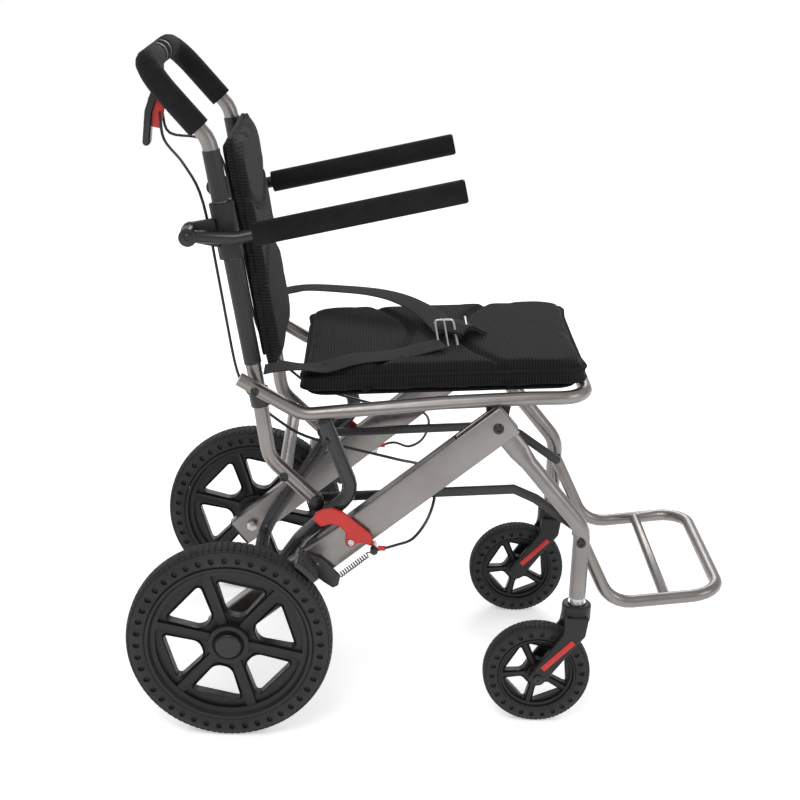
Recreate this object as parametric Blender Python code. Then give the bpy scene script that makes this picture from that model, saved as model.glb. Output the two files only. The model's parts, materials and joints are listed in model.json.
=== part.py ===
"""A folding transport wheelchair: aluminium frame, push bow, armrests, footrest, four wheels.

Lengths are in metres and +Z is up. Inside the script x runs forward from the rear axle; the whole
chair hangs on one empty that brings the middle of its length to x = 0. +Y is the sitter's left.
"""

import math

import bmesh
import bpy
from mathutils import Matrix, Vector

# Clearances
GAP = 0.0004  # between faces that touch on the real chair
RUN = 0.0010  # beside a piece that turns

# Rear wheels
REAR_R = 0.150
REAR_FACETS = 42
REAR_TYRE_WIDTH = 0.040
REAR_TYRE_BORE = 0.121
REAR_CLEAR = 0.060  # from the frame side to the wheel middle
REAR_SPOKES = 6
REAR_HUB_R = 0.030
AXLE_R = 0.006

# Casters
CASTER_R = 0.080
CASTER_FACETS = 30
CASTER_TYRE_WIDTH = 0.030
CASTER_TYRE_BORE = 0.057
CASTER_SPOKES = 5
CASTER_HUB_R = 0.015
CASTER_TRAIL = 0.053
FORK_WALL = 0.009
FORK_HEAD_R = 0.0215
NECK_R = 0.0085
STEM_GAP = 0.010

# Frame planes, each half of a width across the chair
FRAME_Y = 0.180
REAR_Y = FRAME_Y + REAR_CLEAR
BACK_Y = 0.150
ARM_Y = 0.187
OUTER_Y = FRAME_Y + 0.0125 + 0.003
FOOT_Y = 0.150

# Tubes and bars
BEAM_W = 0.025
BEAM_H = 0.048
BEAM_END = 0.020
BEAM_FOOT = 0.028
SLOT_W = 0.0140
SLOT_DEPTH = 0.078
LEG_R = 0.0123
RAIL_R = 0.010
BACK_R = 0.011
LINK_Y = BACK_Y - BACK_R - 0.003
BACK_CORNER = 0.050
ARM_R = 0.009
BOW_R = 0.011
CROSS_R = 0.010
FOOT_R = 0.0095
FOOT_BAR_R = 0.008
LINK_THICK = 0.005
LINK_HEIGHT = 0.014

# Pivots and corners in the side view, as (x, z)
BEAM_TOP = (0.376, 0.466)
REAR_AXLE = (0.000, REAR_R * math.cos(math.pi / REAR_FACETS))
CASTER_Z = CASTER_R * math.cos(math.pi / CASTER_FACETS)
RAIL_REAR = (0.010, 0.526)
RAIL_PIVOT = (0.033, 0.511)
RAIL_DIP = (0.100, 0.475)
RAIL_MIDDLE = (0.293, 0.498)
RAIL_RISE = (0.418, 0.508)
RAIL_FRONT = (0.500, 0.511)
LEG_BEND = (0.505, 0.312)
LEG_FOOT_Z = 0.203
LEG_PIVOT = (0.503, 0.294)
LINK_REAR = (0.121, 0.331)
LINK_FRONT = (0.408, 0.352)
BACK_BEND = (-0.032, 0.856)
HANDLE = (-0.119, 0.952)
ARM_PIVOT = (-0.057, 0.730)
ARM_BEND = (0.008, 0.729)
ARM_TIP = (0.315, 0.800)
BOW_TOP = (0.131, 0.447)
BOW_KNEE = (0.174, 0.360)
HOOK_EYE = (0.129, 0.326)
HOOK_PIVOT = (0.172, 0.290)
CABLE_STOP = (0.205, 0.280)
FOOT_HEEL = (0.560, 0.178)
FOOT_FRONT = (0.722, 0.200)

# Seat and back
SEAT_REAR_X = 0.088
SEAT_FRONT_X = 0.505
SEAT_REAR_Z = 0.502
SEAT_FRONT_Z = 0.526
SEAT_HALF = 0.176
SLING_THICK = 0.003
CUSHION_THICK = 0.029
BACK_PAD_HALF = 0.142
BACK_SLING_HALF = 0.131
BACK_PAD_THICK = 0.016
BACK_PAD_FROM = 0.008
BACK_PAD_TO = 0.346
GRIP_R = 0.0165
GRIP_MIDDLE = 0.036
GRIP_START = 0.019
STRAP_WIDTH = 0.044
STRAP_THICK = 0.0016
CABLE_R = 0.0022
CABLE_Y = 0.2078
SPRING_Y = 0.2078
SHOE_GAP = 0.0040
SHOE_TURN = 6
SHOE_HALF = 7
BUCKLE_TURN = 10

CHAIR_MIDDLE = (FOOT_FRONT[0] + FOOT_R - REAR_R) / 2

SILVER = ("satin_aluminium", (0.62, 0.60, 0.59), 0.32, 0.9)
DARK = ("dark_enamel", (0.045, 0.045, 0.05), 0.42, 0.2)
BLACK = ("black_plastic", (0.028, 0.028, 0.030), 0.5, 0.0)
TYRE = ("tyre_rubber", (0.030, 0.030, 0.032), 0.85, 0.0)
RED = ("red_plastic", (0.62, 0.035, 0.025), 0.35, 0.0)
FOAM = ("black_foam", (0.022, 0.022, 0.024), 0.9, 0.0)
CLOTH = ("black_mesh_cloth", (0.025, 0.025, 0.028), 0.95, 0.0)
STEEL = ("zinc_steel", (0.70, 0.70, 0.70), 0.3, 1.0)

SIDES = (("right", -1.0), ("left", 1.0))


def clear_scene():
    for thing in list(bpy.data.objects):
        bpy.data.objects.remove(thing, do_unlink=True)


def finish(name):
    """The material of a finish, made once."""
    label, colour, roughness, metallic = name
    if label in bpy.data.materials:
        return bpy.data.materials[label]
    material = bpy.data.materials.new(label)
    material.use_nodes = True
    shader = material.node_tree.nodes["Principled BSDF"]
    shader.inputs["Base Color"].default_value = (*colour, 1.0)
    shader.inputs["Roughness"].default_value = roughness
    shader.inputs["Metallic"].default_value = metallic
    return material


def empty(name, x, y, z, parent=None):
    """An empty on a joint's axis, for the pieces that move about it."""
    thing = bpy.data.objects.new(name, None)
    bpy.context.collection.objects.link(thing)
    if parent:
        thing.parent = parent
        thing.matrix_parent_inverse = parent.matrix_world.inverted()
    thing.location = (x, y, z)
    bpy.context.view_layer.update()
    return thing


def place(thing, look, body):
    """Links a finished piece, gives it its finish and hangs it on its body's empty."""
    thing.data.materials.append(finish(look))
    if thing.name not in bpy.context.collection.objects:
        bpy.context.collection.objects.link(thing)
    thing.parent = body
    thing.matrix_parent_inverse = (WHOLE.matrix_world.inverted() @ body.matrix_world).inverted()
    return thing


def piece(name, mesh_maker, look, body):
    """A piece from a function that fills a bmesh."""
    bm = bmesh.new()
    mesh_maker(bm)
    bmesh.ops.remove_doubles(bm, verts=bm.verts, dist=1e-5)
    bmesh.ops.recalc_face_normals(bm, faces=bm.faces)
    mesh = bpy.data.meshes.new(name)
    bm.to_mesh(mesh)
    bm.free()
    mesh.shade_smooth()
    mesh.set_sharp_from_angle(angle=math.radians(35))
    return place(bpy.data.objects.new(name, mesh), look, body)


def rounded(points, radius, step=math.radians(15)):
    """The points of a bent tube: straight runs joined by arcs of one radius."""
    path = [Vector(points[0])]
    for before, corner, after in zip(points, points[1:], points[2:]):
        corner = Vector(corner)
        come = (Vector(before) - corner).normalized()
        leave = (Vector(after) - corner).normalized()
        half = come.angle(leave) / 2
        if half > math.radians(89):
            path.append(corner)
            continue
        room = min((Vector(before) - corner).length, (Vector(after) - corner).length) * 0.49
        reach = min(radius / math.tan(half), room)
        bend = reach * math.tan(half)
        centre = corner + (come + leave).normalized() * (bend / math.sin(half))
        start = corner + come * reach - centre
        end = corner + leave * reach - centre
        sweep = start.angle(end)
        count = max(2, math.ceil(sweep / step))
        for i in range(count + 1):
            path.append(centre + Matrix.Rotation(sweep * i / count, 3, start.cross(end)) @ start)
    path.append(Vector(points[-1]))
    return path


def tube(name, path, radius, look, body, resolution=4):
    """A round bar along a path, closed at both ends."""
    curve = bpy.data.curves.new(name, "CURVE")
    curve.dimensions = "3D"
    curve.bevel_depth = radius
    curve.bevel_resolution = resolution
    curve.use_fill_caps = True
    spline = curve.splines.new("POLY")
    spline.points.add(len(path) - 1)
    for point, at in zip(spline.points, path):
        point.co = (*at, 1.0)
    return place(bpy.data.objects.new(name, curve), look, body)


def rod(bm, path, radius, sides=14):
    """A solid round bar along a path."""
    sleeve(bm, path, radius, 0, sides)


def sleeve(bm, path, outer, bore, sides=14):
    """A round bar along a path, bored through when it has a bore."""
    rings = []
    tangents = [(b - a).normalized() for a, b in zip(path, path[1:])]
    tangents.append(tangents[-1])
    side = tangents[0].orthogonal().normalized()
    for i, at in enumerate(path):
        along = (tangents[i] + tangents[max(i - 1, 0)]).normalized()
        side = (side - along * side.dot(along)).normalized()
        up = along.cross(side)
        for radius in (outer, bore) if bore else (outer,):
            ring = []
            for k in range(sides):
                turn = 2 * math.pi * k / sides
                ring.append(bm.verts.new(at + (side * math.cos(turn) + up * math.sin(turn)) * radius))
            rings.append(ring)

    def join(a, b):
        for k in range(sides):
            n = (k + 1) % sides
            bm.faces.new((a[k], a[n], b[n], b[k]))

    if not bore:
        for a, b in zip(rings, rings[1:]):
            join(a, b)
        bm.faces.new(rings[0])
        bm.faces.new(rings[-1])
        return
    for i in range(0, len(rings) - 2, 2):
        join(rings[i], rings[i + 2])
        join(rings[i + 3], rings[i + 1])
    join(rings[1], rings[0])
    join(rings[-2], rings[-1])


def ribbon(bm, path, widths, thick):
    """A strap along a path; widths holds the half width across it, as a vector, at each point."""
    rings = []
    for i, at in enumerate(path):
        before = path[max(i - 1, 0)]
        after = path[min(i + 1, len(path) - 1)]
        lift = (after - before).cross(widths[i]).normalized() * thick / 2
        corners = (at - widths[i] - lift, at + widths[i] - lift, at + widths[i] + lift, at - widths[i] + lift)
        rings.append([bm.verts.new(corner) for corner in corners])
    for a, b in zip(rings, rings[1:]):
        for k in range(4):
            n = (k + 1) % 4
            bm.faces.new((a[k], a[n], b[n], b[k]))
    bm.faces.new(rings[0])
    bm.faces.new(rings[-1])


def turned(bm, profile, centre, segments=32, axis="Y"):
    """A closed ring or disc turned about an axis through centre, from (radius, along) points."""
    turn_to = Matrix.Rotation(math.radians(-90), 4, "X") if axis == "Y" else Matrix.Identity(4)
    spots = [turn_to @ Vector((radius, 0, along)) for radius, along in profile]
    direction = turn_to @ Vector((0, 0, 1))
    verts = [bm.verts.new(spot) for spot in spots]
    edges = [bm.edges.new((verts[i], verts[(i + 1) % len(verts)])) for i in range(len(verts))]
    bmesh.ops.spin(
        bm,
        geom=verts + edges,
        cent=(0, 0, 0),
        axis=direction,
        angle=2 * math.pi,
        steps=segments,
        use_merge=True,
    )
    made = list(bm.verts)
    bmesh.ops.remove_doubles(bm, verts=made, dist=1e-6)
    bmesh.ops.translate(bm, verts=list(bm.verts), vec=centre)


def plate(bm, outline, y_from, y_to):
    """A flat plate: an outline in the side view, as (x, z), between two planes across the chair."""
    verts = [bm.verts.new((x, y_from, z)) for x, z in outline]
    face = bm.faces.new(verts)
    made = bmesh.ops.extrude_face_region(bm, geom=[face])
    moved = [v for v in made["geom"] if isinstance(v, bmesh.types.BMVert)]
    bmesh.ops.translate(bm, verts=moved, vec=(0, y_to - y_from, 0))


def arc(centre, radius, start, end, count=8):
    """Points on an arc in the side view; angles in degrees, from forward towards up."""
    points = []
    for i in range(count + 1):
        turn = math.radians(start + (end - start) * i / count)
        points.append((centre[0] + radius * math.cos(turn), centre[1] + radius * math.sin(turn)))
    return points


def flat_bar_outline(points, height):
    """The outline of a bar of one height along a line of (x, z) points, round at both ends."""
    line = [Vector(p) for p in points]
    upper = []
    lower = []
    for i, at in enumerate(line):
        before = line[max(i - 1, 0)]
        after = line[min(i + 1, len(line) - 1)]
        along = (after - before).normalized()
        across = Vector((-along.y, along.x)) * height / 2
        upper.append(at + across)
        lower.append(at - across)

    def cap(at, along, turn):
        heading = math.degrees(math.atan2(along.y, along.x))
        return arc(at, height / 2, heading + turn, heading + turn - 180, 6)[1:-1]

    front = cap(line[-1], line[-1] - line[-2], 90)
    rear = cap(line[0], line[0] - line[1], 90)
    return [tuple(p) for p in upper] + front + [tuple(p) for p in reversed(lower)] + rear


def union(name, parts, look, body):
    """One solid from several overlapping ones."""
    whole, *rest = parts
    for other in rest:
        joint = whole.modifiers.new("join", "BOOLEAN")
        joint.operation = "UNION"
        joint.object = other
    bpy.context.view_layer.update()
    graph = bpy.context.evaluated_depsgraph_get()
    mesh = bpy.data.meshes.new_from_object(whole.evaluated_get(graph))
    for part in parts:
        bpy.data.objects.remove(part, do_unlink=True)
    mesh.name = name
    mesh.materials.clear()
    return place(bpy.data.objects.new(name, mesh), look, body)


def loose(maker):
    """A piece not yet hung anywhere, for a union."""
    bm = bmesh.new()
    maker(bm)
    bmesh.ops.remove_doubles(bm, verts=bm.verts, dist=1e-5)
    bmesh.ops.recalc_face_normals(bm, faces=bm.faces)
    mesh = bpy.data.meshes.new("loose")
    bm.to_mesh(mesh)
    bm.free()
    thing = bpy.data.objects.new("loose", mesh)
    bpy.context.collection.objects.link(thing)
    return thing


def beam_line():
    """The beams' direction in the side view and the normal on its upper side."""
    along = (Vector(BEAM_TOP) - Vector(REAR_AXLE)).normalized()
    return along, Vector((-along.y, along.x))


def on_beam(along_from_axle, above):
    """A point in the side view, by its distance along the beam and above its middle line."""
    along, up = beam_line()
    return tuple(Vector(REAR_AXLE) + along * along_from_axle + up * above)


def beam(side, sign):
    """A box beam from the rear axle to the front, forked at the top for the front leg."""
    length = (Vector(BEAM_TOP) - Vector(REAR_AXLE)).length
    ends = (-BEAM_FOOT, length + BEAM_END)
    half = BEAM_H / 2
    inner = sign * (FRAME_Y - BEAM_W / 2)
    outer = sign * (FRAME_Y + BEAM_W / 2)
    cut_in = sign * (FRAME_Y - SLOT_W / 2)
    cut_out = sign * (FRAME_Y + SLOT_W / 2)
    root = ends[1] - SLOT_DEPTH

    def shape(bm):
        outline = [(ends[0], inner), (root, inner), (ends[1], inner), (ends[1], cut_in), (root, cut_in)]
        outline += [(root, cut_out), (ends[1], cut_out), (ends[1], outer), (root, outer), (ends[0], outer)]
        low = [bm.verts.new((*swap(on_beam(s, -half), y),)) for s, y in outline]
        face = bm.faces.new(low)
        made = bmesh.ops.extrude_face_region(bm, geom=[face])
        moved = [v for v in made["geom"] if isinstance(v, bmesh.types.BMVert)]
        up = beam_line()[1] * BEAM_H
        bmesh.ops.translate(bm, verts=moved, vec=(up.x, 0, up.y))

    return piece(f"beam_{side}", shape, SILVER, WHOLE)


def swap(spot, y):
    """(x, z) and y as (x, y, z)."""
    return spot[0], y, spot[1]


def front_leg(side, sign, body):
    """A round leg, flattened at the top where it sits in the beam's fork."""
    y = sign * FRAME_Y
    path = rounded([swap(BEAM_TOP, y), swap(LEG_BEND, y), (LEG_BEND[0], y, LEG_FOOT_Z)], 0.045)
    flat_to = 0.050
    round_from = 0.072
    top = Vector(swap(BEAM_TOP, y))
    away = (path[1] - path[0]).normalized()
    path = [top - away * 0.010, top, top + away * flat_to, top + away * round_from] + path[1:]
    tall = 1.25
    bar = tube("leg_bar", path, LEG_R, SILVER, body)
    bpy.context.view_layer.update()
    graph = bpy.context.evaluated_depsgraph_get()
    mesh = bpy.data.meshes.new_from_object(bar.evaluated_get(graph))
    bpy.data.objects.remove(bar, do_unlink=True)
    thin = SLOT_W / 2 - RUN
    across = Vector((-away.z, 0, away.x))
    for vertex in mesh.vertices:
        gone = (vertex.co - top).dot(away)
        if gone > round_from - GAP:
            continue
        share = 1.0 if gone < flat_to + GAP else 0.0
        off = (vertex.co - top).dot(across)
        vertex.co.y = y + (vertex.co.y - y) * (1 + share * (thin / LEG_R - 1))
        vertex.co += across * off * (tall - 1) * share
    mesh.materials.clear()
    bar = bpy.data.objects.new("leg", mesh)
    bpy.context.collection.objects.link(bar)
    low = LEG_FOOT_Z - STEM_GAP + GAP
    neck = [(0, low), (NECK_R, low), (NECK_R, LEG_FOOT_Z + NECK_R), (0, LEG_FOOT_Z + NECK_R)]
    stem = loose(lambda bm: turned(bm, neck, (LEG_BEND[0], y, 0), 14, "Z"))
    return union(f"front_leg_{side}", [bar, stem], SILVER, body)


def seat_rail():
    """The seat's U-shaped rail, open at the back."""
    points = []
    for _, sign in SIDES:
        y = sign * FRAME_Y
        run = [swap(spot, y) for spot in (RAIL_REAR, RAIL_DIP, RAIL_MIDDLE, RAIL_RISE, RAIL_FRONT)]
        points += run if sign < 0 else run[::-1]
    return tube("seat_rail", rounded(points, 0.045), RAIL_R, SILVER, WHOLE)


def rail_z(x):
    """The rail's middle height at x, in front of its dip."""
    line = (RAIL_DIP, RAIL_MIDDLE, RAIL_RISE, RAIL_FRONT)
    for (x0, z0), (x1, z1) in zip(line, line[1:]):
        if x <= x1:
            break
    return z0 + (x - x0) / (x1 - x0) * (z1 - z0)


def seat_bracket(side, sign):
    """The plate that hangs the seat rail on the beam's top bolt."""
    x, z = BEAM_TOP
    top = rail_z(x)
    outline = [(x - 0.012, z - 0.014), (x + 0.012, z - 0.014), (x + 0.020, top), (x - 0.020, top)]
    inner = FRAME_Y - BEAM_W / 2 - GAP
    return piece(
        f"seat_bracket_{side}",
        lambda bm: plate(bm, outline, sign * inner, sign * (inner - 0.004)),
        BLACK,
        WHOLE,
    )


def rear_bow():
    """The bent bow that props the seat rail on the rear of the beams."""
    foot_y = 0.146
    foot = (0.022, 0.147)
    half = [
        (BOW_TOP[0], FRAME_Y, rail_z(BOW_TOP[0]) - RAIL_R - 0.003),
        swap(BOW_KNEE, FRAME_Y),
        (0.130, FRAME_Y, 0.316),
        (0.098, 0.147, 0.272),
        (0.042, foot_y, 0.187),
        swap(foot, foot_y),
    ]
    points = [(x, -y, z) for x, y, z in half] + half[::-1]
    return tube("rear_bow", rounded(points, 0.032, math.radians(18)), BOW_R, DARK, WHOLE)


def back_direction():
    """The back tubes' direction in the side view, from the rail's pivot to the bend."""
    return (Vector(BACK_BEND) - Vector(RAIL_PIVOT)).normalized()


def on_back(along, forward):
    """A point in the side view, by its height along the back tubes and its distance in front."""
    up = back_direction()
    ahead = Vector((up.y, -up.x))
    return tuple(Vector(RAIL_PIVOT) + up * along + ahead * forward)


def back_frame(body):
    """Back tubes and push bow, bent from one tube."""
    half = [swap(on_back(-0.008, 0), BACK_Y), swap(BACK_BEND, BACK_Y), swap(HANDLE, BACK_Y)]
    points = [(x, -y, z) for x, y, z in half] + half[::-1]
    path = rounded(points, BACK_CORNER)
    return tube("back_frame", path, BACK_R, SILVER, body)



def upright(side, sign, body):
    """The lower end of a back tube, bent forward to the link."""
    y = sign * BACK_Y
    top = swap(on_back(-0.008 - GAP * 2, 0), y)
    points = [top, (0.051, y, 0.397), swap(LINK_REAR, y)]
    return tube(f"rear_upright_{side}", rounded(points, 0.045), BACK_R, SILVER, body)


def back_socket(side, sign, body):
    """The plastic sleeve over the joint between back tube and upright."""
    y = sign * BACK_Y
    line = [Vector(swap(on_back(s, 0), y)) for s in (-0.034, -0.0075)]
    return piece(
        f"back_socket_{side}",
        lambda bm: sleeve(bm, line, 0.0148, BACK_R + 0.0012),
        BLACK,
        body,
    )


def bar_across(name, spot, half, radius, look, body):
    """A straight round bar across the chair."""
    path = [Vector(swap(spot, -half)), Vector(swap(spot, half))]
    return tube(name, path, radius, look, body)


def lower_link(side, sign, body):
    """The flat bar from a back tube's foot to the front leg."""
    line = [LINK_REAR, (0.299, 0.343), LINK_FRONT, (0.440, 0.338), LEG_PIVOT]
    outline = flat_bar_outline(line, LINK_HEIGHT)
    return piece(
        f"lower_link_{side}",
        lambda bm: plate(bm, outline, sign * (LINK_Y - LINK_THICK / 2), sign * (LINK_Y + LINK_THICK / 2)),
        BLACK,
        body,
    )


def wheel_rim(name, centre, radius, hub_r, spokes, width, hub_width, bore, body):
    """A moulded rim: a flanged ring, a hub and spokes."""
    half = width / 2
    inner = radius * 0.86

    def ring(bm):
        turned(bm, [(radius - GAP, -half), (radius - GAP, half), (inner, half), (inner, -half)], centre, 36)

    def hub(bm):
        reach = hub_width / 2
        turned(bm, [(hub_r, -reach), (hub_r, reach), (bore, reach), (bore, -reach)], centre, 24)

    def spoke(index):
        def shape(bm):
            turn = 2 * math.pi * index / spokes
            middle = (inner + hub_r) / 2
            reach = (inner - hub_r) / 2 + min(hub_r * 0.25, radius - inner - GAP * 4)
            size = Matrix.Diagonal((reach * 2, half * 0.9, radius * 0.13, 1))
            spin = Matrix.Rotation(turn, 4, "Y")
            shift = Matrix.Translation((middle, 0, 0))
            bmesh.ops.create_cube(bm, size=1, matrix=Matrix.Translation(centre) @ spin @ shift @ size)

        return shape

    parts = [loose(ring), loose(hub)] + [loose(spoke(i)) for i in range(spokes)]
    return union(name, parts, BLACK, body)


def tyre(name, centre, radius, bore, width, body, segments):
    """A solid tyre with rounded shoulders."""
    half = width / 2
    profile = [
        (bore, -half * 0.62),
        (bore + (radius - bore) * 0.45, -half),
        (radius - (radius - bore) * 0.12, -half * 0.72),
        (radius, -half * 0.30),
        (radius, half * 0.30),
        (radius - (radius - bore) * 0.12, half * 0.72),
        (bore + (radius - bore) * 0.45, half),
        (bore, half * 0.62),
    ]
    return piece(name, lambda bm: turned(bm, profile, centre, segments), TYRE, body)


def rear_wheel(side, sign):
    """Tyre and rim, on a body that spins on the axle, and the axle itself."""
    centre = Vector(swap(REAR_AXLE, sign * REAR_Y))
    body = empty(f"rear_wheel_{side}_axis", *centre, WHOLE)
    tyre(f"rear_tyre_{side}", centre, REAR_R, REAR_TYRE_BORE, REAR_TYRE_WIDTH, body, REAR_FACETS)
    wheel_rim(
        f"rear_rim_{side}",
        centre,
        REAR_TYRE_BORE,
        REAR_HUB_R,
        REAR_SPOKES,
        REAR_TYRE_WIDTH * 0.62,
        REAR_TYRE_WIDTH,
        AXLE_R + RUN,
        body,
    )
    outside = FRAME_Y + BEAM_W / 2 + GAP
    hub_in = REAR_Y - REAR_TYRE_WIDTH / 2 - RUN
    hub_out = REAR_Y + REAR_TYRE_WIDTH / 2
    profile = [(0, outside), (0.010, outside), (0.010, hub_in), (AXLE_R, hub_in), (AXLE_R, hub_out), (0, hub_out)]
    outline = [(r, sign * y) for r, y in profile]
    piece(f"rear_axle_{side}", lambda bm: turned(bm, outline, swap(REAR_AXLE, 0), 16), STEEL, WHOLE)


def caster(side, sign):
    """Swivelling fork, small wheel and its axle under a front leg."""
    x, y = LEG_BEND[0], sign * FRAME_Y
    axle = Vector((x - CASTER_TRAIL, y, CASTER_Z))
    fork = empty(f"caster_swivel_{side}_axis", x, y, CASTER_Z, WHOLE)
    wheel = empty(f"caster_wheel_{side}_axis", *axle, WHOLE)
    head_top = LEG_FOOT_Z - STEM_GAP
    tyre(f"caster_tyre_{side}", axle, CASTER_R, CASTER_TYRE_BORE, CASTER_TYRE_WIDTH, wheel, CASTER_FACETS)
    wheel_rim(
        f"caster_rim_{side}",
        axle,
        CASTER_TYRE_BORE,
        CASTER_HUB_R,
        CASTER_SPOKES,
        CASTER_TYRE_WIDTH * 0.62,
        CASTER_TYRE_WIDTH,
        AXLE_R / 2 + RUN,
        wheel,
    )
    inner = CASTER_TYRE_WIDTH / 2 + 0.003
    outer = inner + FORK_WALL
    head_low = CASTER_R * 2 + 0.006

    def head(bm):
        rim = [(0, head_low), (FORK_HEAD_R, head_low), (FORK_HEAD_R, head_top), (0, head_top)]
        turned(bm, rim, (x, y, 0), 20, "Z")

    def blade(hand):
        outline = arc((axle.x, axle.z), 0.0125, 150, 330, 6)
        outline += [(x - 0.004, 0.128), (x + 0.013, 0.150), (x + 0.0165, head_low + 0.014)]
        outline += [(x - 0.0165, head_low + 0.014), (x - 0.020, 0.152)]
        return lambda bm: plate(bm, outline, y + hand * inner, y + hand * outer)

    union(f"caster_fork_{side}", [loose(head), loose(blade(-1)), loose(blade(1))], BLACK, fork)
    reach = inner - GAP
    pin = [(0, -reach), (AXLE_R / 2, -reach), (AXLE_R / 2, reach), (0, reach)]
    piece(f"caster_axle_{side}", lambda bm: turned(bm, pin, axle, 12), STEEL, fork)


def footrest(body):
    """The footrest loop, hinged inside the front legs, with its cross bar."""
    half = [swap(LEG_PIVOT, FOOT_Y), swap(FOOT_HEEL, FOOT_Y), swap(FOOT_FRONT, FOOT_Y)]
    points = [Vector((x, -y, z)) for x, y, z in half] + [Vector(p) for p in half[::-1]]
    line = rounded(points, 0.045)
    spot = Vector(FOOT_HEEL).lerp(Vector(FOOT_FRONT), 0.5)
    bar = [Vector(swap(spot, -FOOT_Y)), Vector(swap(spot, FOOT_Y))]
    loop = loose(lambda bm: rod(bm, line, FOOT_R))
    union("footrest", [loop, loose(lambda bm: rod(bm, bar, FOOT_BAR_R, 12))], SILVER, body)


def hand_grip(side, sign, body):
    """The foam sleeve on one leg of the push bow, round its bend to the brake lever."""
    points = [swap(BACK_BEND, BACK_Y), swap(HANDLE, BACK_Y), (HANDLE[0], GRIP_MIDDLE, HANDLE[1])]
    path = rounded(points, BACK_CORNER)
    start = path[0] + (path[1] - path[0]).normalized() * GRIP_START
    line = [Vector((p.x, p.y * sign, p.z)) for p in [start] + path[1:]]
    piece(f"hand_grip_{side}", lambda bm: sleeve(bm, line, GRIP_R, BACK_R + GAP), FOAM, body)


def arm(side, sign, back):
    """Clamp on the back tube, arm bar on its pivot and foam pad."""
    y = sign * BACK_Y
    collar_half = 0.0165
    line = [Vector(swap(on_back(s, 0), y)) for s in (0.186, 0.264)]
    lug_line = arc(ARM_PIVOT, 0.0135, 80, 280, 8) + [on_back(0.205, -BACK_R - 0.001), on_back(0.245, -BACK_R - 0.001)]

    def collar(bm):
        sleeve(bm, line, 0.0175, BACK_R + GAP, 16)

    def lug(bm):
        plate(bm, lug_line, sign * (BACK_Y + 0.004), sign * (BACK_Y + collar_half))

    union(f"arm_clamp_{side}", [loose(collar), loose(lug)], BLACK, back)

    pivot = empty(f"armrest_{side}_axis", *swap(ARM_PIVOT, sign * ARM_Y), WHOLE)
    points = [Vector(swap(spot, sign * ARM_Y)) for spot in (ARM_PIVOT, ARM_BEND, ARM_TIP)]
    along = (points[2] - points[1]).normalized()
    bar_line = rounded(points[:2] + [points[2] - along * 0.004], 0.040)
    face = BACK_Y + collar_half + RUN
    rim = [(0, face), (0.0125, face), (0.0125, ARM_Y + 0.011), (0, ARM_Y + 0.012)]
    rim = [(r, sign * h) for r, h in rim]
    boss = loose(lambda bm: turned(bm, rim, swap(ARM_PIVOT, 0), 20))
    union(f"arm_bar_{side}", [boss, loose(lambda bm: rod(bm, bar_line, ARM_R))], BLACK, pivot)
    pad = [points[1] + along * 0.024, points[2]]
    piece(f"arm_pad_{side}", lambda bm: sleeve(bm, pad, 0.0163, ARM_R + GAP, 18), FOAM, pivot)


def hook(side, sign):
    """The red lever on the beam that locks the bow."""
    body = empty(f"lock_hook_{side}_axis", *swap(HOOK_PIVOT, sign * OUTER_Y), WHOLE)
    px, pz = HOOK_PIVOT
    ex, ez = HOOK_EYE
    outline = [(ex - 0.012, ez - 0.004), (ex - 0.008, ez + 0.008), (ex + 0.003, ez + 0.014), (px - 0.025, pz + 0.051)]
    outline += [(px - 0.012, pz + 0.046), (px + 0.015, pz + 0.024), (px + 0.028, pz + 0.013)]
    outline += [(px + 0.034, pz - 0.002), (px + 0.030, pz - 0.006), (px + 0.016, pz - 0.001)]
    outline += arc(HOOK_PIVOT, 0.0085, -20, -160, 5)
    outline += [(px - 0.007, pz + 0.014), (px - 0.018, pz + 0.025), (px - 0.031, pz + 0.027), (ex, ez - 0.014)]
    piece(
        f"lock_hook_{side}",
        lambda bm: plate(bm, outline, sign * OUTER_Y, sign * (OUTER_Y + 0.007)),
        RED,
        body,
    )


def brake(side, sign):
    """The brake arm on the beam with its shoe over the tyre, and its pull spring."""
    shoe_gap = REAR_R + SHOE_GAP
    px, pz = on_beam(shoe_gap + 0.0045, 0)
    body = empty(f"brake_{side}_axis", *swap((px, pz), sign * OUTER_Y), WHOLE)
    along = beam_line()[0]
    middle = math.degrees(math.atan2(along.y, along.x)) + SHOE_TURN
    start, end = middle - SHOE_HALF, middle + SHOE_HALF
    shoe = arc(REAR_AXLE, shoe_gap, start, end, 5) + arc(REAR_AXLE, shoe_gap + 0.009, end, start, 5)
    outline = [(px - 0.018, pz + 0.021), (px - 0.015, pz + 0.004), (px - 0.006, pz - 0.012)]
    outline += [(px + 0.012, pz - 0.027), (px + 0.026, pz - 0.036), (px + 0.034, pz - 0.032)]
    outline += [(px + 0.037, pz - 0.016), (px + 0.024, pz - 0.003), (px + 0.008, pz + 0.011)]
    arm_plate = loose(lambda bm: plate(bm, outline, sign * OUTER_Y, sign * (OUTER_Y + 0.005)))
    y_out = REAR_Y + REAR_TYRE_WIDTH * 0.3
    block = loose(lambda bm: plate(bm, shoe, sign * (OUTER_Y + 0.002), sign * y_out))
    union(f"brake_arm_{side}", [arm_plate, block], BLACK, body)
    y = sign * SPRING_Y
    ends = [Vector(swap((px + 0.030, pz - 0.016), y)), Vector(swap(CABLE_STOP, y))]
    away = (ends[1] - ends[0]).normalized()
    tube(f"brake_spring_{side}", [ends[0], ends[1] - away * 0.004], 0.004, STEEL, WHOLE, 2)


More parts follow.
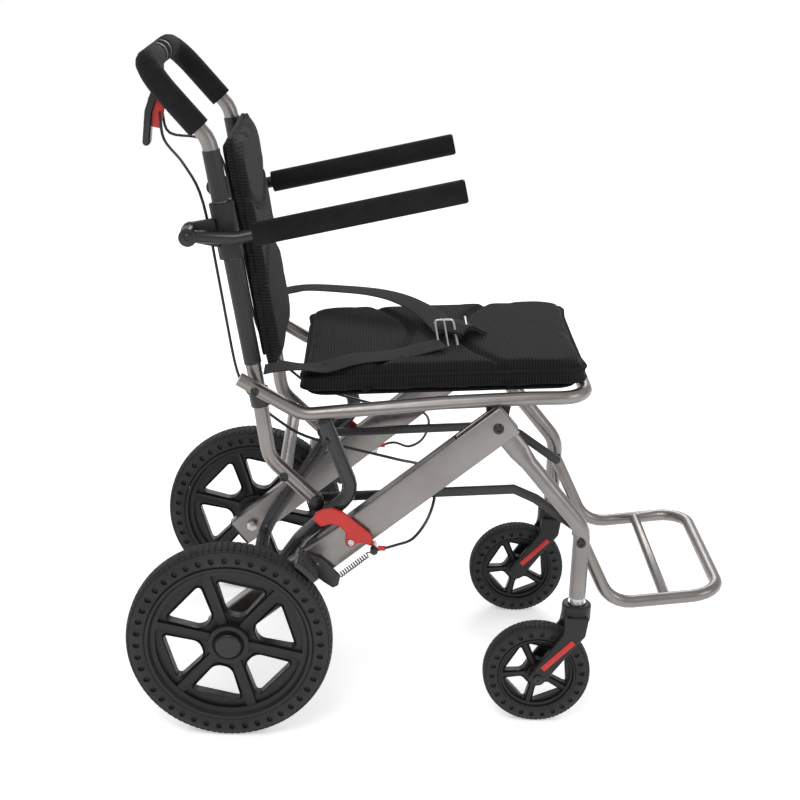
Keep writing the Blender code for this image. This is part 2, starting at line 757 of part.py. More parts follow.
def brake_cable(side, sign, back):
    """The held cable from the brake lever to its stop: one length up the back, one along the beam."""
    low_y = CABLE_Y
    inside = BACK_Y - 0.004
    upper = [
        (HANDLE[0] + 0.002, 0.010, HANDLE[1] - 0.082),
        (HANDLE[0] + 0.010, 0.030, HANDLE[1] - 0.118),
        (-0.070, 0.110, 0.812),
        swap(on_back(0.265, -0.025), inside),
        swap(on_back(0.130, -0.025), inside),
        swap(on_back(0.020, -0.025), inside),
        (0.026, 0.130, 0.480),
        (0.036, 0.128, 0.467),
    ]
    lower = [
        (0.037, 0.128, 0.466),
        (0.092, 0.118, 0.424),
        (0.153, 0.112, 0.404),
        (0.235, 0.112, 0.385),
        (0.276, 0.122, 0.378),
        (0.292, 0.146, 0.352),
        (0.284, 0.162, 0.316),
        (0.262, 0.186, 0.292),
        (0.236, low_y, 0.290),
        swap(CABLE_STOP, low_y),
    ]
    for name, line, body in (("upper", upper, back), ("lower", lower, WHOLE)):
        points = [Vector((x, sign * w, z)) for x, w, z in line]
        tube(f"{name}_cable_{side}", smooth(points, 5), CABLE_R, BLACK, body, 1)


def smooth(points, steps):
    """A smooth line through the points."""
    ends = [2 * points[0] - points[1]] + points + [2 * points[-1] - points[-2]]
    line = []
    for a, b, c, d in zip(ends, ends[1:], ends[2:], ends[3:]):
        for i in range(steps):
            t = i / steps
            near = 2 * b + (c - a) * t
            far = (2 * a - 5 * b + 4 * c - d) * t**2 + (3 * b - a - 3 * c + d) * t**3
            line.append((near + far) / 2)
    line.append(points[-1])
    return line


def seat_low(x):
    """The underside of the cushion at x."""
    share = (x - SEAT_REAR_X) / (SEAT_FRONT_X - SEAT_REAR_X)
    return SEAT_REAR_Z + share * (SEAT_FRONT_Z - SEAT_REAR_Z)


def slab(bm, x_from, x_to, half, low, thick, corner):
    """A sheet over the seat with round corners; low gives the height of its underside at x."""
    outline = []
    for x0, sx, sy in ((x_to, 1, 1), (x_from, -1, 1), (x_from, -1, -1), (x_to, 1, -1)):
        first = {(1, 1): 0, (-1, 1): 90, (-1, -1): 180, (1, -1): 270}[(sx, sy)]
        for i in range(7):
            turn = math.radians(first + 15 * i)
            across = sy * (half - corner) + corner * math.sin(turn)
            outline.append((x0 - sx * corner + corner * math.cos(turn), across))
    verts = [bm.verts.new((x, y, low(x))) for x, y in outline]
    face = bm.faces.new(verts)
    made = bmesh.ops.extrude_face_region(bm, geom=[face])
    moved = [v for v in made["geom"] if isinstance(v, bmesh.types.BMVert)]
    bmesh.ops.translate(bm, verts=moved, vec=(0, 0, thick))


def seat_soft():
    """The sling between the rails and the cushion on it."""
    half = FRAME_Y - RAIL_R - GAP
    front = RAIL_FRONT[0] - RAIL_R - 0.004

    def below(x):
        return seat_low(x) - SLING_THICK - GAP

    piece("seat_sling", lambda bm: slab(bm, 0.104, front, half, below, SLING_THICK, 0.030), CLOTH, WHOLE)
    cushion = (SEAT_REAR_X, SEAT_FRONT_X, SEAT_HALF, seat_low, CUSHION_THICK, 0.028)
    piece("seat_cushion", lambda bm: slab(bm, *cushion), CLOTH, WHOLE)


def belts():
    """The lap belt: a strap from each side of the seat, and the buckle between them."""
    top = CUSHION_THICK + 0.003
    near = [(0.050, -0.184, 0.545), (0.084, -0.179, 0.550)]
    near += [(x, y, seat_low(x) + top) for x, y in ((0.120, -0.155), (0.160, -0.138), (0.220, -0.112), (0.276, -0.098))]
    far = [(0.052, 0.184, 0.556), (0.090, 0.180, 0.563), (0.140, 0.160, 0.568), (0.200, 0.120, 0.572)]
    far += [(0.255, 0.085, 0.574), (0.296, 0.040, 0.563), (0.312, 0.000, 0.557)]
    for name, line in (("belt_right", near), ("belt_left", far)):
        path = [Vector(p) for p in line]
        widths = []
        for i in range(len(path)):
            along = path[min(i + 1, len(path) - 1)] - path[max(i - 1, 0)]
            across = Vector((0, 0, 1)).cross(along).normalized()
            widths.append(across * STRAP_WIDTH / 2)
        piece(name, lambda bm, p=path, w=widths: ribbon(bm, p, w, STRAP_THICK), CLOTH, WHOLE)
    centre = Vector((0.304, -0.060, seat_low(0.304) + top + 0.003))
    size = Matrix.Diagonal((0.030, 0.056, 0.006, 1))
    turn = Matrix.Rotation(math.radians(BUCKLE_TURN), 4, "Z")
    where = Matrix.Translation(centre) @ turn @ size
    piece("buckle", lambda bm: bmesh.ops.create_cube(bm, size=1, matrix=where), BLACK, WHOLE)


def back_soft(body):
    """The sling in front of the back tubes and the pad on it."""

    def panel(bm, half, along_from, along_to, forward, thick, corner):
        outline = []
        for a0, sa, sy in ((along_to, 1, 1), (along_to, 1, -1), (along_from, -1, -1), (along_from, -1, 1)):
            first = {(1, 1): 0, (1, -1): 90, (-1, -1): 180, (-1, 1): 270}[(sa, sy)]
            for i in range(5):
                turn = math.radians(first + 90 * i / 4)
                across = sy * (half - corner) + corner * math.cos(turn)
                along = a0 - sa * corner + corner * math.sin(turn)
                outline.append((across, along))
        verts = [bm.verts.new(swap(on_back(a, forward), y)) for y, a in outline]
        face = bm.faces.new(verts)
        made = bmesh.ops.extrude_face_region(bm, geom=[face])
        moved = [v for v in made["geom"] if isinstance(v, bmesh.types.BMVert)]
        up = back_direction()
        bmesh.ops.translate(bm, verts=moved, vec=(up.y * thick, 0, -up.x * thick))

    front = BACK_R + 0.0022
    piece("back_sling", lambda bm: panel(bm, BACK_SLING_HALF, 0.030, 0.335, front, 0.003, 0.012), CLOTH, body)
    piece(
        "back_cushion",
        lambda bm: panel(bm, BACK_PAD_HALF, BACK_PAD_FROM, BACK_PAD_TO, front + 0.0034, BACK_PAD_THICK, 0.030),
        CLOTH,
        body,
    )


def brake_handle(back):
    """Clamps on the push bow, the squeeze lever and the red parking catch."""
    hx, hz = HANDLE

    def yoke(bm):
        size = Matrix.Diagonal((0.012, 0.044, 0.020, 1))
        bmesh.ops.create_cube(bm, size=1, matrix=Matrix.Translation((hx - 0.001, 0, hz - 0.0245)) @ size)

    def ring(y):
        line = [Vector((hx, y - 0.005, hz)), Vector((hx, y + 0.005, hz))]
        return lambda bm: sleeve(bm, line, 0.0165, BACK_R + GAP, 16)

    union("brake_mount", [loose(yoke), loose(ring(-0.020)), loose(ring(0.020))], BLACK, back)
    pivot = (hx - 0.001, hz - 0.042)
    body = empty("brake_lever_axis", *swap(pivot, 0), WHOLE)
    line = [pivot, (pivot[0] - 0.014, pivot[1] - 0.040), (pivot[0] - 0.018, pivot[1] - 0.084)]
    blade = flat_bar_outline(line, 0.011)
    piece("brake_lever", lambda bm: plate(bm, blade, -0.012, 0.012), BLACK, body)
    park = (pivot[0] + 0.010, pivot[1] - 0.026)
    catch = empty("parking_catch_axis", *swap(park, 0), WHOLE)
    outline = arc(park, 0.009, 120, 300, 6) + [(park[0] + 0.010, park[1] - 0.020), (park[0] + 0.012, park[1] - 0.004)]
    piece("parking_catch", lambda bm: plate(bm, outline, -0.006, 0.006), RED, catch)


clear_scene()
WHOLE = empty("chair_axis", 0, 0, 0)

BACK = empty("back_axis", *swap(RAIL_PIVOT, 0), WHOLE)
FOOTREST = empty("footrest_axis", *swap(LEG_PIVOT, 0), WHOLE)
LEGS = empty("front_legs_axis", *swap(BEAM_TOP, 0), WHOLE)

seat_rail()
rear_bow()
back_frame(BACK)
footrest(FOOTREST)
for side, sign in SIDES:
    beam(side, sign)
    front_leg(side, sign, LEGS)
    seat_bracket(side, sign)
    hand_grip(side, sign, BACK)
    upright(side, sign, BACK)
    back_socket(side, sign, BACK)
    lower_link(side, sign, LEGS)
    rear_wheel(side, sign)
    caster(side, sign)
    arm(side, sign, BACK)
    hook(side, sign)
    brake(side, sign)
    brake_cable(side, sign, BACK)
seat_soft()
belts()
back_soft(BACK)
brake_handle(BACK)
bar_across("rear_cross_tube", (0.073, 0.372), BACK_Y - BACK_R - GAP, CROSS_R, SILVER, BACK)
WHOLE.location.x = -CHAIR_MIDDLE
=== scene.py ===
# %% [markdown]
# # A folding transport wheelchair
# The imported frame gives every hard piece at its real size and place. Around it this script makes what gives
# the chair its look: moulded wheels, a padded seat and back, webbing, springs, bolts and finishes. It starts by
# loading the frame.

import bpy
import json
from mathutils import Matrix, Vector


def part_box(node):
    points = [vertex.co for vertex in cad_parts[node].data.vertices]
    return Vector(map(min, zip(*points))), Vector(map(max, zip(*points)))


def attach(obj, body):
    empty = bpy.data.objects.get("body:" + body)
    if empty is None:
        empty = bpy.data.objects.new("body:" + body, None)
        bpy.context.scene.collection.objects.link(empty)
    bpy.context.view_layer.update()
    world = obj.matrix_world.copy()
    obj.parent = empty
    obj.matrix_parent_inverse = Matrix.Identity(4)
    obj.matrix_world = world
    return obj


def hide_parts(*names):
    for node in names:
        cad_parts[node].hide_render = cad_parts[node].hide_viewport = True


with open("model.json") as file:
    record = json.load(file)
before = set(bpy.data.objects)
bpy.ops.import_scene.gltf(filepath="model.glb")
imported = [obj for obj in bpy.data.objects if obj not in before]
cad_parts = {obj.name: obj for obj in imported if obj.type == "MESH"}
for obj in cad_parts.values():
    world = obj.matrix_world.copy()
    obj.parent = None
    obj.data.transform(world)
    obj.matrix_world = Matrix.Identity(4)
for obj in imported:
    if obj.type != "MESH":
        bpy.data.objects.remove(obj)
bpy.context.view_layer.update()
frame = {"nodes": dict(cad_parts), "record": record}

import json
import math

import bmesh
import bpy
from mathutils import Matrix, Vector

BODY_OF = {node: body for body, nodes in frame["record"]["behaviour"]["bodies"].items() for node in nodes}
PIVOT = {j["name"]: Vector(j["pos_m"]) for j in frame["record"]["behaviour"]["joints"] if "pos_m" in j}
SIDES = (("right", -1), ("left", 1))

# %% [markdown]
# Most steps below are the same few moves of the hand: clear the selection, add a primitive, work on some of its
# faces, apply a modifier, and hang the result on its body. Naming those moves once keeps each later cell short.
# A finished piece's place is always applied into its mesh, so that its object stays at the origin.


# %% Small moves used everywhere
def only(obj):
    """Makes obj the one selected and active object."""
    bpy.ops.object.select_all(action="DESELECT")
    obj.select_set(True)
    bpy.context.view_layer.objects.active = obj


def take(name):
    """Names the primitive just added and puts its place into its mesh."""
    obj = bpy.context.active_object
    obj.name = name
    obj.data.name = name
    only(obj)
    bpy.ops.object.transform_apply(location=True, rotation=True, scale=True)
    return obj


def modify(obj, kind, **settings):
    """Adds a modifier, sets it and applies it."""
    only(obj)
    step = obj.modifiers.new("step", kind)
    for key, value in settings.items():
        setattr(step, key, value)
    bpy.ops.object.modifier_apply(modifier=step.name)


def edit(obj, wanted):
    """Opens obj in edit mode with only the faces chosen by wanted(face) selected."""
    only(obj)
    bpy.ops.object.mode_set(mode="EDIT")
    bpy.ops.mesh.select_mode(type="FACE")
    bpy.ops.mesh.select_all(action="DESELECT")
    bpy.ops.object.mode_set(mode="OBJECT")
    for face in obj.data.polygons:
        face.select = bool(wanted(face))
    bpy.ops.object.mode_set(mode="EDIT")


def close_edit():
    """Goes back to object mode."""
    bpy.ops.object.mode_set(mode="OBJECT")


def soften(obj, width, segments=2, degrees=40):
    """Bevels the edges of obj that turn by more than some degrees."""
    limit = math.radians(degrees)
    modify(obj, "BEVEL", width=width, segments=segments, limit_method="ANGLE", angle_limit=limit)


def smooth(obj, degrees=40):
    """Shades obj smooth, and leaves the edges sharp that turn by more than some degrees."""
    only(obj)
    bpy.ops.object.shade_smooth_by_angle(angle=math.radians(degrees))


def outward(obj):
    """Merges doubles and turns all faces outwards."""
    edit(obj, lambda face: True)
    bpy.ops.mesh.remove_doubles(threshold=0.00002)
    bpy.ops.mesh.normals_make_consistent(inside=False)
    close_edit()


def hang(obj, look, node=None, body=None):
    """Gives obj its finish and a body to ride on; with a node, it rides on that node's body and hides the node.
    """
    obj.data.materials.clear()
    obj.data.materials.append(look)
    if node:
        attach(obj, BODY_OF[node])
        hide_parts(node)
    else:
        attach(obj, body)
    return obj


def join(parts, name):
    """Joins pieces into one object."""
    only(parts[0])
    for part in parts[1:]:
        part.select_set(True)
    bpy.ops.object.join()
    parts[0].name = name
    parts[0].data.name = name
    return parts[0]


def bar(name, path, radius, sides=12, closed=False):
    """A round bar or cord along a path, as a curve turned into a mesh."""
    curve = bpy.data.curves.new(name, "CURVE")
    curve.dimensions = "3D"
    curve.bevel_depth = radius
    curve.bevel_resolution = max(0, sides // 4 - 1)
    curve.use_fill_caps = True
    spline = curve.splines.new("POLY")
    spline.points.add(len(path) - 1)
    for point, at in zip(spline.points, path):
        point.co = (*at, 1.0)
    spline.use_cyclic_u = closed
    obj = bpy.data.objects.new(name, curve)
    bpy.context.collection.objects.link(obj)
    only(obj)
    bpy.ops.object.convert(target="MESH")
    obj = bpy.context.active_object
    outward(obj)
    smooth(obj, 50)
    return obj


def cylinder(name, at, radius, depth, axis="Y", sides=32):
    """A cylinder along an axis, at its place."""
    turn = {"X": (0, math.pi / 2, 0), "Y": (math.pi / 2, 0, 0), "Z": (0, 0, 0)}[axis]
    bpy.ops.object.select_all(action="DESELECT")
    bpy.ops.mesh.primitive_cylinder_add(vertices=sides, radius=radius, depth=depth, location=at, rotation=turn)
    return take(name)


def block(name, at, size, tilt=0.0):
    """A cuboid of a size at a place, tilted about Y."""
    bpy.ops.object.select_all(action="DESELECT")
    bpy.ops.mesh.primitive_cube_add(size=1, location=at, rotation=(0, tilt, 0))
    bpy.context.active_object.scale = size
    return take(name)


def copied(node, name):
    """A copy of a frame node with its own mesh, whose loose triangles are merged."""
    source = frame["nodes"][node]
    copy = source.copy()
    copy.data = source.data.copy()
    copy.name = name
    bpy.context.collection.objects.link(copy)
    edit(copy, lambda face: True)
    bpy.ops.mesh.remove_doubles(threshold=0.00001)
    close_edit()
    return copy


def corners(node):
    """The lowest and the highest corner of a frame node."""
    return (Vector(corner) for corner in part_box(node))


ORIGIN = Vector((0, 0, 0))
ORIGIN_X = PIVOT["rear_wheel_spin_right"].x  # the rear axle
BEAM_Y = 0.180  # from the middle of the chair to the middle of each beam and front leg
TUBE_Y = 0.150  # the same, to each back tube and upright


def spot(x, z, y):
    """A place given from the rear axle forwards, by height, and by distance from the middle."""
    return Vector((ORIGIN_X + x, y, z))

# %% [markdown]
# Every finish is built from nodes on Object coordinates. Paint and plastic are never one flat colour: a slow
# noise shifts the tone a little, a finer one changes the roughness, and the finest makes the bump. One function
# covers them all, and cloth, which has ribs and a weave, gets its own.


# %% Finishes for hard pieces
def noise(nodes, links, coords, scale, detail=4.0, rough=0.55):
    """The value of a noise of a scale."""
    texture = nodes.new("ShaderNodeTexNoise")
    texture.inputs["Scale"].default_value = scale
    texture.inputs["Detail"].default_value = detail
    texture.inputs["Roughness"].default_value = rough
    links.new(coords, texture.inputs["Vector"])
    return texture.outputs["Fac"]


def ramp(nodes, links, value, low, high, start=0.3, end=0.7):
    """A grey value spread between two numbers or two colours."""
    mapped = nodes.new("ShaderNodeValToRGB")
    mapped.color_ramp.elements[0].position = start
    mapped.color_ramp.elements[1].position = end
    as_colour = [(v, v, v, 1) if isinstance(v, float) else (*v, 1) for v in (low, high)]
    mapped.color_ramp.elements[0].color = as_colour[0]
    mapped.color_ramp.elements[1].color = as_colour[1]
    links.new(value, mapped.inputs["Fac"])
    return mapped.outputs["Color"]


def hard(name, dark, light, rough, metallic=0.0, grain=900.0, bump=0.05, coat=0.0, patch=14.0, shine=0.5):
    """A paint, plastic or metal: a drift of tone, a drift of gloss and a fine grain."""
    material = bpy.data.materials.new(name)
    material.use_nodes = True
    nodes, links = material.node_tree.nodes, material.node_tree.links
    shader = nodes["Principled BSDF"]
    coords = nodes.new("ShaderNodeTexCoord").outputs["Object"]
    links.new(ramp(nodes, links, noise(nodes, links, coords, patch), dark, light), shader.inputs["Base Color"])
    gloss = ramp(nodes, links, noise(nodes, links, coords, patch * 7, 6.0), rough[0], rough[1])
    links.new(gloss, shader.inputs["Roughness"])
    shader.inputs["Metallic"].default_value = metallic
    shader.inputs["Coat Weight"].default_value = coat
    shader.inputs["Coat Roughness"].default_value = 0.25
    shader.inputs["Specular IOR Level"].default_value = shine
    relief = nodes.new("ShaderNodeBump")
    relief.inputs["Strength"].default_value = bump
    relief.inputs["Distance"].default_value = 0.0006
    links.new(noise(nodes, links, coords, grain, 2.0), relief.inputs["Height"])
    links.new(relief.outputs["Normal"], shader.inputs["Normal"])
    return material


COAL, SOOT = (0.004, 0.004, 0.0045), (0.009, 0.009, 0.010)  # the two tones of the smooth blacks
SILVER = hard(
    "satin silver paint", (0.215, 0.200, 0.192), (0.27, 0.255, 0.245), (0.26, 0.36), 0.90, 2600.0, 0.10, 0.1
)
GUNMETAL = hard(
    "dark enamel on steel", (0.016, 0.016, 0.018), (0.030, 0.030, 0.033), (0.22, 0.34), 0.2, 1800.0, 0.08
)
PLASTIC = hard(
    "black moulded plastic", (0.0045, 0.0045, 0.005), (0.010, 0.010, 0.011), (0.38, 0.54), 0, 1500.0, 0.25,
    shine=0.4,
)
GLOSSY = hard("smooth black nylon", COAL, SOOT, (0.24, 0.36), 0, 900.0, 0.08)
RUBBER = hard(
    "solid tyre rubber", (0.008, 0.008, 0.009), (0.016, 0.016, 0.017), (0.50, 0.70), 0, 700.0, 0.35, shine=0.4
)
RED = hard("red nylon", (0.42, 0.012, 0.009), (0.54, 0.018, 0.013), (0.28, 0.42), 0, 1200.0, 0.12)
FOAM = hard(
    "closed-cell foam", (0.003, 0.003, 0.0035), (0.008, 0.008, 0.009), (0.80, 0.95), 0, 950.0, 0.9, shine=0.25
)
STEEL = hard("zinc-plated steel", (0.48, 0.48, 0.49), (0.62, 0.62, 0.63), (0.22, 0.38), 1.0, 1500.0, 0.08)
VINYL = hard("black vinyl sleeve", COAL, SOOT, (0.34, 0.48), 0, 600.0, 0.20)

# %% [markdown]
# The cover is a spacer mesh: knitted ribs about 4 mm apart run across the chair, with small open cells between
# them. Webbing is a tight twill. Both are cloth, so they get sheen and no gloss. The ribs are a band texture,
# and the cells a fine Voronoi, mixed into one height so that light catches the ribs first.


# %% Finishes for cloth
def cloth(name, dark, light, rib, rib_turn, cell, strength, rib_share=0.7):
    """A woven cloth with ribs a given distance apart, turned about the axes, and fine cells."""
    material = bpy.data.materials.new(name)
    material.use_nodes = True
    nodes, links = material.node_tree.nodes, material.node_tree.links
    shader = nodes["Principled BSDF"]
    coords = nodes.new("ShaderNodeTexCoord").outputs["Object"]
    turned = nodes.new("ShaderNodeMapping")
    turned.inputs["Rotation"].default_value = rib_turn
    links.new(coords, turned.inputs["Vector"])
    ribs = nodes.new("ShaderNodeTexWave")
    ribs.wave_type = "BANDS"
    ribs.bands_direction = "X"
    ribs.inputs["Scale"].default_value = 0.314 / rib
    ribs.inputs["Distortion"].default_value = 0.6
    ribs.inputs["Detail"].default_value = 1.0
    ribs.inputs["Detail Scale"].default_value = 2.0
    links.new(turned.outputs["Vector"], ribs.inputs["Vector"])
    cells = nodes.new("ShaderNodeTexVoronoi")
    cells.inputs["Scale"].default_value = cell
    links.new(coords, cells.inputs["Vector"])
    height = nodes.new("ShaderNodeMix")
    height.data_type = "FLOAT"
    height.inputs["Factor"].default_value = 1 - rib_share
    links.new(ribs.outputs["Fac"], height.inputs["A"])
    links.new(cells.outputs["Distance"], height.inputs["B"])
    relief = nodes.new("ShaderNodeBump")
    relief.inputs["Strength"].default_value = strength
    relief.inputs["Distance"].default_value = 0.0015
    links.new(height.outputs["Result"], relief.inputs["Height"])
    links.new(relief.outputs["Normal"], shader.inputs["Normal"])
    tone = ramp(nodes, links, height.outputs["Result"], dark, light, 0.15, 0.85)
    links.new(tone, shader.inputs["Base Color"])
    shader.inputs["Roughness"].default_value = 0.9
    shader.inputs["Specular IOR Level"].default_value = 0.2
    shader.inputs["Sheen Weight"].default_value = 0.03
    shader.inputs["Sheen Roughness"].default_value = 0.5
    return material


SEAT_CLOTH = cloth(
    "ribbed seat mesh", (0.0015, 0.0015, 0.002), (0.013, 0.013, 0.014), 0.0042, (0, 0, 0), 900.0, 0.7
)
ALONG_BACK = (0, math.radians(79), 0)
BACK_CLOTH = cloth(
    "ribbed back mesh", (0.0015, 0.0015, 0.002), (0.015, 0.015, 0.016), 0.0042, ALONG_BACK, 900.0, 0.7
)
BINDING = cloth(
    "edge binding", (0.003, 0.003, 0.0035), (0.010, 0.010, 0.011), 0.0012, (0, 0, 0.8), 1500.0, 0.35, 0.4
)
SLING_CLOTH = cloth(
    "coated sling cloth", (0.003, 0.003, 0.0035), (0.008, 0.008, 0.009), 0.0010, (0, 0, 0.8), 1300.0, 0.3, 0.4
)
# The webbing's tone runs from its own near-black between the ribs up to a grey on the rib tops that is painted
# sheen.
WEBBING_PAINTED_SHEEN = cloth(
    "twill webbing with painted sheen", (0.006, 0.006, 0.0065), (0.045, 0.045, 0.047), 0.0019, (0, 0, 0.62), 1600.0, 0.6
)

# %% [markdown]
# Tubes, plates and moulded blocks already have their right shape in the frame. What they lack is a broken edge
# and a smooth surface, so each is copied, its loose triangles are merged, its sharp edges are bevelled by what
# a press or a mould would leave, and it gets its finish.


# %% Frame pieces with better surfaces
def refinish(node, look, edge=0.0, segments=2, melt=0.0):
    """A cleaned copy of a frame node, with softened edges, in the node's place; melt rounds it all over."""
    copy = copied(node, node + "_finished")
    edit(copy, lambda face: True)
    bpy.ops.mesh.tris_convert_to_quads(face_threshold=math.radians(2), shape_threshold=math.radians(180))
    bpy.ops.mesh.dissolve_limited(angle_limit=math.radians(1))
    close_edit()
    if edge:
        soften(copy, edge, segments, 50)
    if melt:
        modify(copy, "REMESH", mode="VOXEL", voxel_size=melt)
        modify(copy, "SMOOTH", factor=0.6, iterations=8)
    smooth(copy, 60 if melt else 35)
    return hang(copy, look, node)


MELT = {"lock_hook": 0.0009, "caster_fork": 0.0013, "brake_arm": 0.0009}  # voxel size
PAIRED = {  # finish and edge softening of what both sides have
    "front_leg": (SILVER, 0.0),
    "rear_upright": (SILVER, 0.0),
    "beam": (SILVER, 0.0042),
    "seat_bracket": (PLASTIC, 0.0012),
    "back_socket": (GLOSSY, 0.0008),
    "lower_link": (GUNMETAL, 0.0010),
    "caster_fork": (PLASTIC, 0.0016),
    "arm_clamp": (PLASTIC, 0.0014),
    "arm_bar": (GLOSSY, 0.0010),
    "arm_pad": (FOAM, 0.0012),
    "hand_grip": (FOAM, 0.0012),
    "lock_hook": (RED, 0.0016),
    "brake_arm": (GUNMETAL, 0.0010),
    "rear_axle": (STEEL, 0.0006),
    "caster_axle": (STEEL, 0.0),
    "upper_cable": (GLOSSY, 0.0),
    "lower_cable": (GLOSSY, 0.0),
}
SINGLE = {  # the same, of what the chair has once
    "seat_rail": (SILVER, 0.0),
    "back_frame": (SILVER, 0.0),
    "footrest": (SILVER, 0.0),
    "rear_cross_tube": (SILVER, 0.0),
    "rear_bow": (GUNMETAL, 0.0),
    "brake_mount": (PLASTIC, 0.0010),
    "brake_lever": (GLOSSY, 0.0022),
    "parking_catch": (RED, 0.0012),
}
for kind, (look, edge) in PAIRED.items():
    for side, _ in SIDES:
        node = f"{kind}_{side}"
        refinish(node, look, edge, 3 if edge > 0.003 else 2, melt=MELT.get(kind, 0.0))
for node, (look, edge) in SINGLE.items():
    refinish(node, look, edge)

# %% [markdown]
# The tyres are solid polyurethane. Each side wall has a ring of blind holes that make the ride softer, and the
# tread is many small raised blocks. A section is drawn from a circle's vertices and spun round the axle. Every
# second face of the flat side band is inset, its corners cut, and sunk to a hole. The tread is a second ring
# spun with narrower steps, whose outer faces are each inset and raised.


# %% Tyres
def spun(name, section, steps):
    """A closed section of (radius, height) points, drawn from a circle and spun about Z."""
    bpy.ops.object.select_all(action="DESELECT")
    bpy.ops.mesh.primitive_circle_add(vertices=len(section), radius=0.01, location=ORIGIN)
    obj = take(name)
    for vertex, (out, up) in zip(obj.data.vertices, section):
        vertex.co = Vector((out, 0, up))
    only(obj)
    bpy.ops.object.mode_set(mode="EDIT")
    bpy.ops.mesh.select_all(action="SELECT")
    bpy.ops.mesh.spin(steps=steps, angle=2 * math.pi, center=(0, 0, 0), axis=(0, 0, 1))
    close_edit()
    outward(obj)
    return obj


def tyre(name, node, radius, bore, width, holes, band, blocks, rows, block_gap=0.0012):
    """A solid tyre with its tread blocks and side wall holes; band is the holes' (inner, outer) radius."""
    low, high = corners(node)
    centre = (low + high) / 2
    centre.z = AXLE_HEIGHT[node]
    half, tall = width / 2, radius - bore
    rise = tall * 0.06
    crown = radius - rise
    upper = [
        (crown, half * 0.30),
        (crown - tall * 0.03, half * 0.62),
        (crown - tall * 0.14, half * 0.88),
        (band[1], half),
        (band[0], half),
        (bore + tall * 0.10, half * 0.95),
        (bore, half * 0.86),
    ]
    section = upper + [(out, -up) for out, up in reversed(upper)]
    body = spun(name, section, holes * 2)

    def is_hole(face):
        out = math.hypot(face.center.x, face.center.y)
        share = (math.atan2(face.center.y, face.center.x) % (2 * math.pi)) / (2 * math.pi)
        every_other = math.floor(share * holes * 2) % 2 == 0
        return band[0] < out < band[1] and abs(face.normal.z) > 0.95 and every_other

    band_width = band[1] - band[0]
    edit(body, is_hole)
    bpy.ops.mesh.inset(use_individual=True, thickness=band_width * 0.06)
    bpy.ops.mesh.bevel(offset=band_width * 0.24, affect="VERTICES", segments=1)
    close_edit()
    cut = band_width * 0.35
    middle = (band[0] + band[1]) / 2

    def is_mouth(face):
        out = math.hypot(face.center.x, face.center.y)
        return abs(face.normal.z) > 0.95 and len(face.vertices) == 8 and abs(out - middle) < cut

    edit(body, is_mouth)
    bpy.ops.mesh.inset(use_individual=True, thickness=0.0003, depth=-half * 0.20)
    close_edit()

    outer = []
    for i in range(rows + 1):
        up = half * 0.86 * (2 * i / rows - 1)
        outer.append((crown + rise * 0.15 - tall * 0.20 * abs(up / half) ** 4, up))
    inner = [(out - tall * 0.10, up * 0.9) for out, up in reversed(outer)]
    tread = spun(name + "_tread", outer + inner, blocks)

    def is_block(face):
        outwards = face.normal.dot(face.center * Vector((1, 1, 0))) > 0
        return outwards and face.center.to_2d().length > crown - tall * 0.16

    edit(tread, is_block)
    bpy.ops.mesh.inset(use_individual=True, thickness=block_gap, depth=rise * 0.85)
    close_edit()
    whole = join([body, tread], name)
    whole.data.transform(Matrix.Translation(centre) @ Matrix.Rotation(math.pi / 2, 4, "X"))
    smooth(whole, 28)
    return hang(whole, RUBBER, node)


AXLE_HEIGHT = {}
for side, _ in SIDES:
    AXLE_HEIGHT[f"rear_tyre_{side}"] = PIVOT[f"rear_wheel_spin_{side}"].z
    AXLE_HEIGHT[f"caster_tyre_{side}"] = PIVOT[f"caster_spin_{side}"].z
REAR = dict(radius=0.1496, bore=0.1212, width=0.0395, holes=44, band=(0.1270, 0.1385), blocks=104, rows=6)
CASTER = dict(radius=0.0796, bore=0.0572, width=0.0295, holes=26, band=(0.0612, 0.0712), blocks=72, rows=5)
for side, _ in SIDES:
    rear = tyre(f"rear_tyre_moulded_{side}", f"rear_tyre_{side}", **REAR)
    small = tyre(f"caster_tyre_moulded_{side}", f"caster_tyre_{side}", **CASTER)
print("tyres:", len(rear.data.polygons), "and", len(small.data.polygons), "faces")

# %% [markdown]
# Each rim is one nylon moulding: a rim bed with a stepped lip, spokes with a raised rib, and a hub boss. A thin
# disc is cut by rounded windows, modelled once and copied round, and its faces are inset and sunk. A rib with a
# hollowed face is laid on each spoke, and the bed and the boss are cylinders with several insets.


# %% Rims
def window(inner, outer, count, spoke, depth, corner):
    """One rounded window cutter between two spokes, pointing along +X."""
    slack = spoke / 2
    turn = math.pi / count
    obj = block("window", ORIGIN, (1, 1, 1))
    for vertex in obj.data.vertices:
        out = outer if vertex.co.x > 0 else inner
        across = (out * math.sin(turn) - slack) / math.cos(turn) * (0.94 if vertex.co.x > 0 else 1.0)
        y = math.copysign(max(across, 0.001), vertex.co.y)
        vertex.co = Vector((out, y, math.copysign(depth, vertex.co.z)))
    soften(obj, corner, 5, 30)
    return obj


